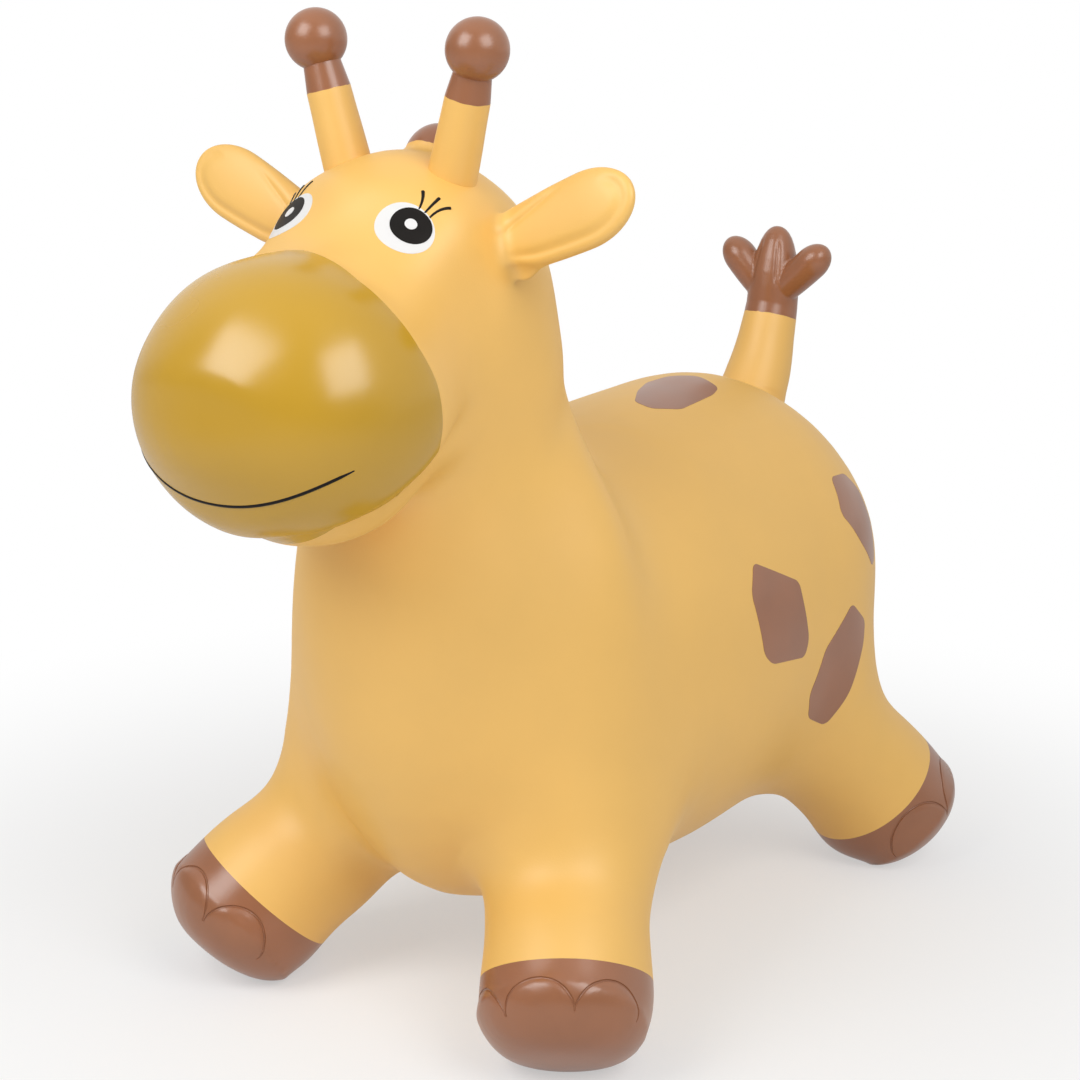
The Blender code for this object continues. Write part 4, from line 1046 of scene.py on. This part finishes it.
for name, (centre, away, outline) in SPOTS.items():
    for hand, side in (("left", 1), ("right", -1)):
        if (name, hand) == ("back", "right"):
            continue
        shape = [(right * MM * side, high * MM) for right, high in outline]
        film(
            f"{name}_spot_{hand}", (centre[0] * side, *centre[1:]), (away[0] * side, *away[1:]), shape,
            SPOT_ROUNDING, 1, brown, "painted_brown", SPOT_REACH,
        )

# Eyes: a big egg of white, a near-black iris and a white glint, printed one over another, with three
# lashes drawn from the iris's upper edge, thicker towards their tips.
EYE_PLACE, EYE_AWAY = (0.0426, -0.1897, 0.4894), (0.401, -0.634, 0.662)
EYE_WHITE = (-3.5, -1.2, 16.3)
IRIS = (0.0, 0.1, 11.5)
GLINT = (0.0, 1.0, 3.4)
EYE_SKEW = 0.09
EYE_CORNERS, EYE_REACH = 40, 0.030
LASHES = (
    ((3.8, 10.6), (5.4, 17.3), (5.3, 23.4)), ((7.0, 8.4), (10.7, 13.7), (14.7, 19.3)),
    ((9.8, 5.5), (15.1, 10.8), (21.6, 13.4)),
)
LASH_RADIUS, LASH_SINK, LASH_STEPS = 0.00100, 0.45, 14
LASH_START, LASH_GROWTH = 0.70, 0.50
eye_white = vinyl("eye_white_print", (0.76, 0.755, 0.75), 0.40, 0.01, 60.0, 0.1, shine=0.3)
eye_black = vinyl("eye_black_print", (0.009, 0.007, 0.006), 0.45, 0.25, 60.0, 0.1, shine=0.15)


def egg(across, up, radius):
    """Corners of a slightly skewed round, in metres: full towards its upper inner side."""
    corners = []
    for step in range(EYE_CORNERS):
        turn = math.tau * step / EYE_CORNERS
        swollen = radius * (1 - EYE_SKEW * math.sin(2 * turn))
        corners.append(((across + swollen * math.cos(turn)) * MM, (up + swollen * math.sin(turn)) * MM))
    return corners


def brush_line(name, points, radii, sink):
    """A line in dark print, drawn with a brush."""
    line = thread_on_skin(name, points, radii, sink)
    dress(line, eye_black, "eye_black", "skin")


def bowed(low, middle, high):
    """Points of the smooth bow through three points."""
    points = []
    for step in range(LASH_STEPS):
        share = step / (LASH_STEPS - 1)
        of_low = (1 - share) * (1 - 2 * share)
        of_middle, of_high = 4 * share * (1 - share), share * (2 * share - 1)
        points.append(low * of_low + middle * of_middle + high * of_high)
    return points


for hand, side in (("left", 1), ("right", -1)):
    place = Vector((EYE_PLACE[0] * side, *EYE_PLACE[1:]))
    away = Vector((EYE_AWAY[0] * side, *EYE_AWAY[1:])).normalized()
    across = Vector((0.0, 0.0, 1.0)).cross(away).normalized()
    up = away.cross(across)
    for part, layer, round_, paint, slot in (
        ("eye_white", 1, EYE_WHITE, eye_white, "eye_white"),
        ("iris", 2, IRIS, eye_black, "eye_black"),
        ("glint", 3, GLINT, eye_white, "eye_white"),
    ):
        outline = [(right * side, high) for right, high in egg(*round_)]
        film(f"{hand}_{part}", place, away, outline, 0.0, layer, paint, slot, EYE_REACH)
    for number, lash in enumerate(LASHES):
        ends = [place + across * right * side * MM + up * high * MM for right, high in lash]
        radii = []
        for step in range(LASH_STEPS):
            radii.append(LASH_RADIUS * (LASH_START + LASH_GROWTH * step / (LASH_STEPS - 1)))
        brush_line(f"{hand}_lash_{number + 1}", bowed(*ends), radii, LASH_SINK)

# Mouth: a thin line of near-black print, drawn with a brush over the mustard paint. It runs across the
# lower half of the muzzle and rises to both cheeks, where it thins out.
MOUTH_LOW, MOUTH_RISE, MOUTH_CURVE, MOUTH_HALF = 0.3534, 0.0234, 2.1, 0.0744
MOUTH_AHEAD, MOUTH_STEPS = 0.40, 60
MOUTH_RADIUS, MOUTH_SINK = 0.0013, 0.6
MOUTH_END, MOUTH_THINNING = 0.45, {"left": 8, "right": 2}
points, radii = [], []
for step in range(MOUTH_STEPS + 1):
    share = 2 * step / MOUTH_STEPS - 1
    x = MOUTH_HALF * share
    z = MOUTH_LOW + MOUTH_RISE * abs(share) ** MOUTH_CURVE
    points.append(skin_tree.ray_cast(Vector((x, -MOUTH_AHEAD, z)), Vector((0.0, 1.0, 0.0)))[0])
    thinning = MOUTH_THINNING["left" if share > 0 else "right"]
    radii.append(MOUTH_RADIUS * min(1.0, MOUTH_END + thinning * (1 - abs(share))))
brush_line("mouth_line", points, radii, MOUTH_SINK)

# Valve: a grommet moulded into the belly and the plug pushed into it, both in milky soft plastic. The
# plug has a flat head with a rounded edge, and draws straight down.
SEAT_BORE, SEAT_ROUNDING = 0.0045, 0.0005
POCKET_GAP, POCKET_DEPTH, POCKET_SEGMENTS = 0.0002, 0.06, 96
VALVE_SEGMENTS = 72
PLUG_HEAD_DEPTH, PLUG_HEAD_EDGE = 0.0020, 0.0003
PLUG_HEAD_ROUND = ((0.0, 0.0012), (0.0003, 0.0005), (0.0009, 0.0))
PLUG_NECK, PLUG_NECK_END = 0.0043, 0.0035
PLUG_TIP, PLUG_TIP_ROUND = 0.0036, 0.0004
milky = vinyl("milky_plastic", (0.78, 0.76, 0.70), 0.38, 0.02, 80.0, 0.1)
seat_low, seat_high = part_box("valve_seat")
plug_low, plug_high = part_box("valve_plug")
valve_foot = Vector(((seat_low.x + seat_high.x) / 2, (seat_low.y + seat_high.y) / 2, 0.0))
seat_radius = (seat_high.x - seat_low.x) / 2
head_radius = (plug_high.x - plug_low.x) / 2
bpy.ops.object.select_all(action="DESELECT")
bpy.ops.mesh.primitive_cylinder_add(vertices=POCKET_SEGMENTS, radius=seat_radius + POCKET_GAP, depth=POCKET_DEPTH)
pocket = bpy.context.object
pocket_middle = valve_foot + Vector((0, 0, seat_high.z + POCKET_GAP - POCKET_DEPTH / 2))
pocket.data.transform(Matrix.Translation(pocket_middle))
finish_with(trunk, "BOOLEAN", operation="DIFFERENCE", object=pocket, solver="EXACT")
bpy.data.objects.remove(pocket)


def turned(name, profile):
    """A closed ring or plug spun from its half profile: radius and height."""
    bpy.ops.object.select_all(action="DESELECT")
    bpy.ops.mesh.primitive_circle_add(vertices=len(profile), radius=1.0, fill_type="NOTHING")
    piece = bpy.context.object
    piece.name = name
    for corner, (radius, height) in zip(piece.data.vertices, profile):
        corner.co = (radius, 0.0, height)
    bpy.ops.object.mode_set(mode="EDIT")
    bpy.ops.mesh.select_all(action="SELECT")
    bpy.ops.mesh.bevel(offset=SEAT_ROUNDING, affect="VERTICES", segments=3)
    bpy.ops.mesh.select_all(action="SELECT")
    bpy.ops.mesh.spin(steps=VALVE_SEGMENTS, angle=math.tau, center=(0.0, 0.0, 0.0), axis=(0.0, 0.0, 1.0))
    bpy.ops.mesh.select_all(action="SELECT")
    bpy.ops.mesh.remove_doubles(threshold=WELD)
    bpy.ops.mesh.normals_make_consistent(inside=False)
    bpy.ops.object.mode_set(mode="OBJECT")
    piece.data.transform(Matrix.Translation(valve_foot))
    creased(piece)
    return piece


seat = turned("valve_seat_ring", [
    (SEAT_BORE, seat_low.z), (seat_radius, seat_low.z),
    (seat_radius, seat_high.z), (SEAT_BORE, seat_high.z),
])
dress(seat, milky, "valve_white", "skin", "valve_seat")
plug_head = plug_low.z + PLUG_HEAD_DEPTH
plug_rings = [(plug_low.z + rise, head_radius - inset) for rise, inset in PLUG_HEAD_ROUND]
plug_rings += [(plug_head - PLUG_HEAD_EDGE, head_radius), (plug_head, head_radius - PLUG_HEAD_EDGE)]
plug_rings += [(plug_head, PLUG_NECK), (plug_high.z - PLUG_NECK_END, PLUG_NECK)]
plug_rings += [(plug_high.z - PLUG_TIP_ROUND, PLUG_TIP), (plug_high.z, PLUG_TIP - PLUG_TIP_ROUND)]
upright = Vector((0.0, 0.0, 1.0))
plug = drawn("valve_plug_body", plug_rings, valve_foot, upright, segments=VALVE_SEGMENTS)
creased(plug)
dress(plug, milky, "valve_white", "valve_plug", "valve_plug")

bpy.data.objects.remove(skin_shades)
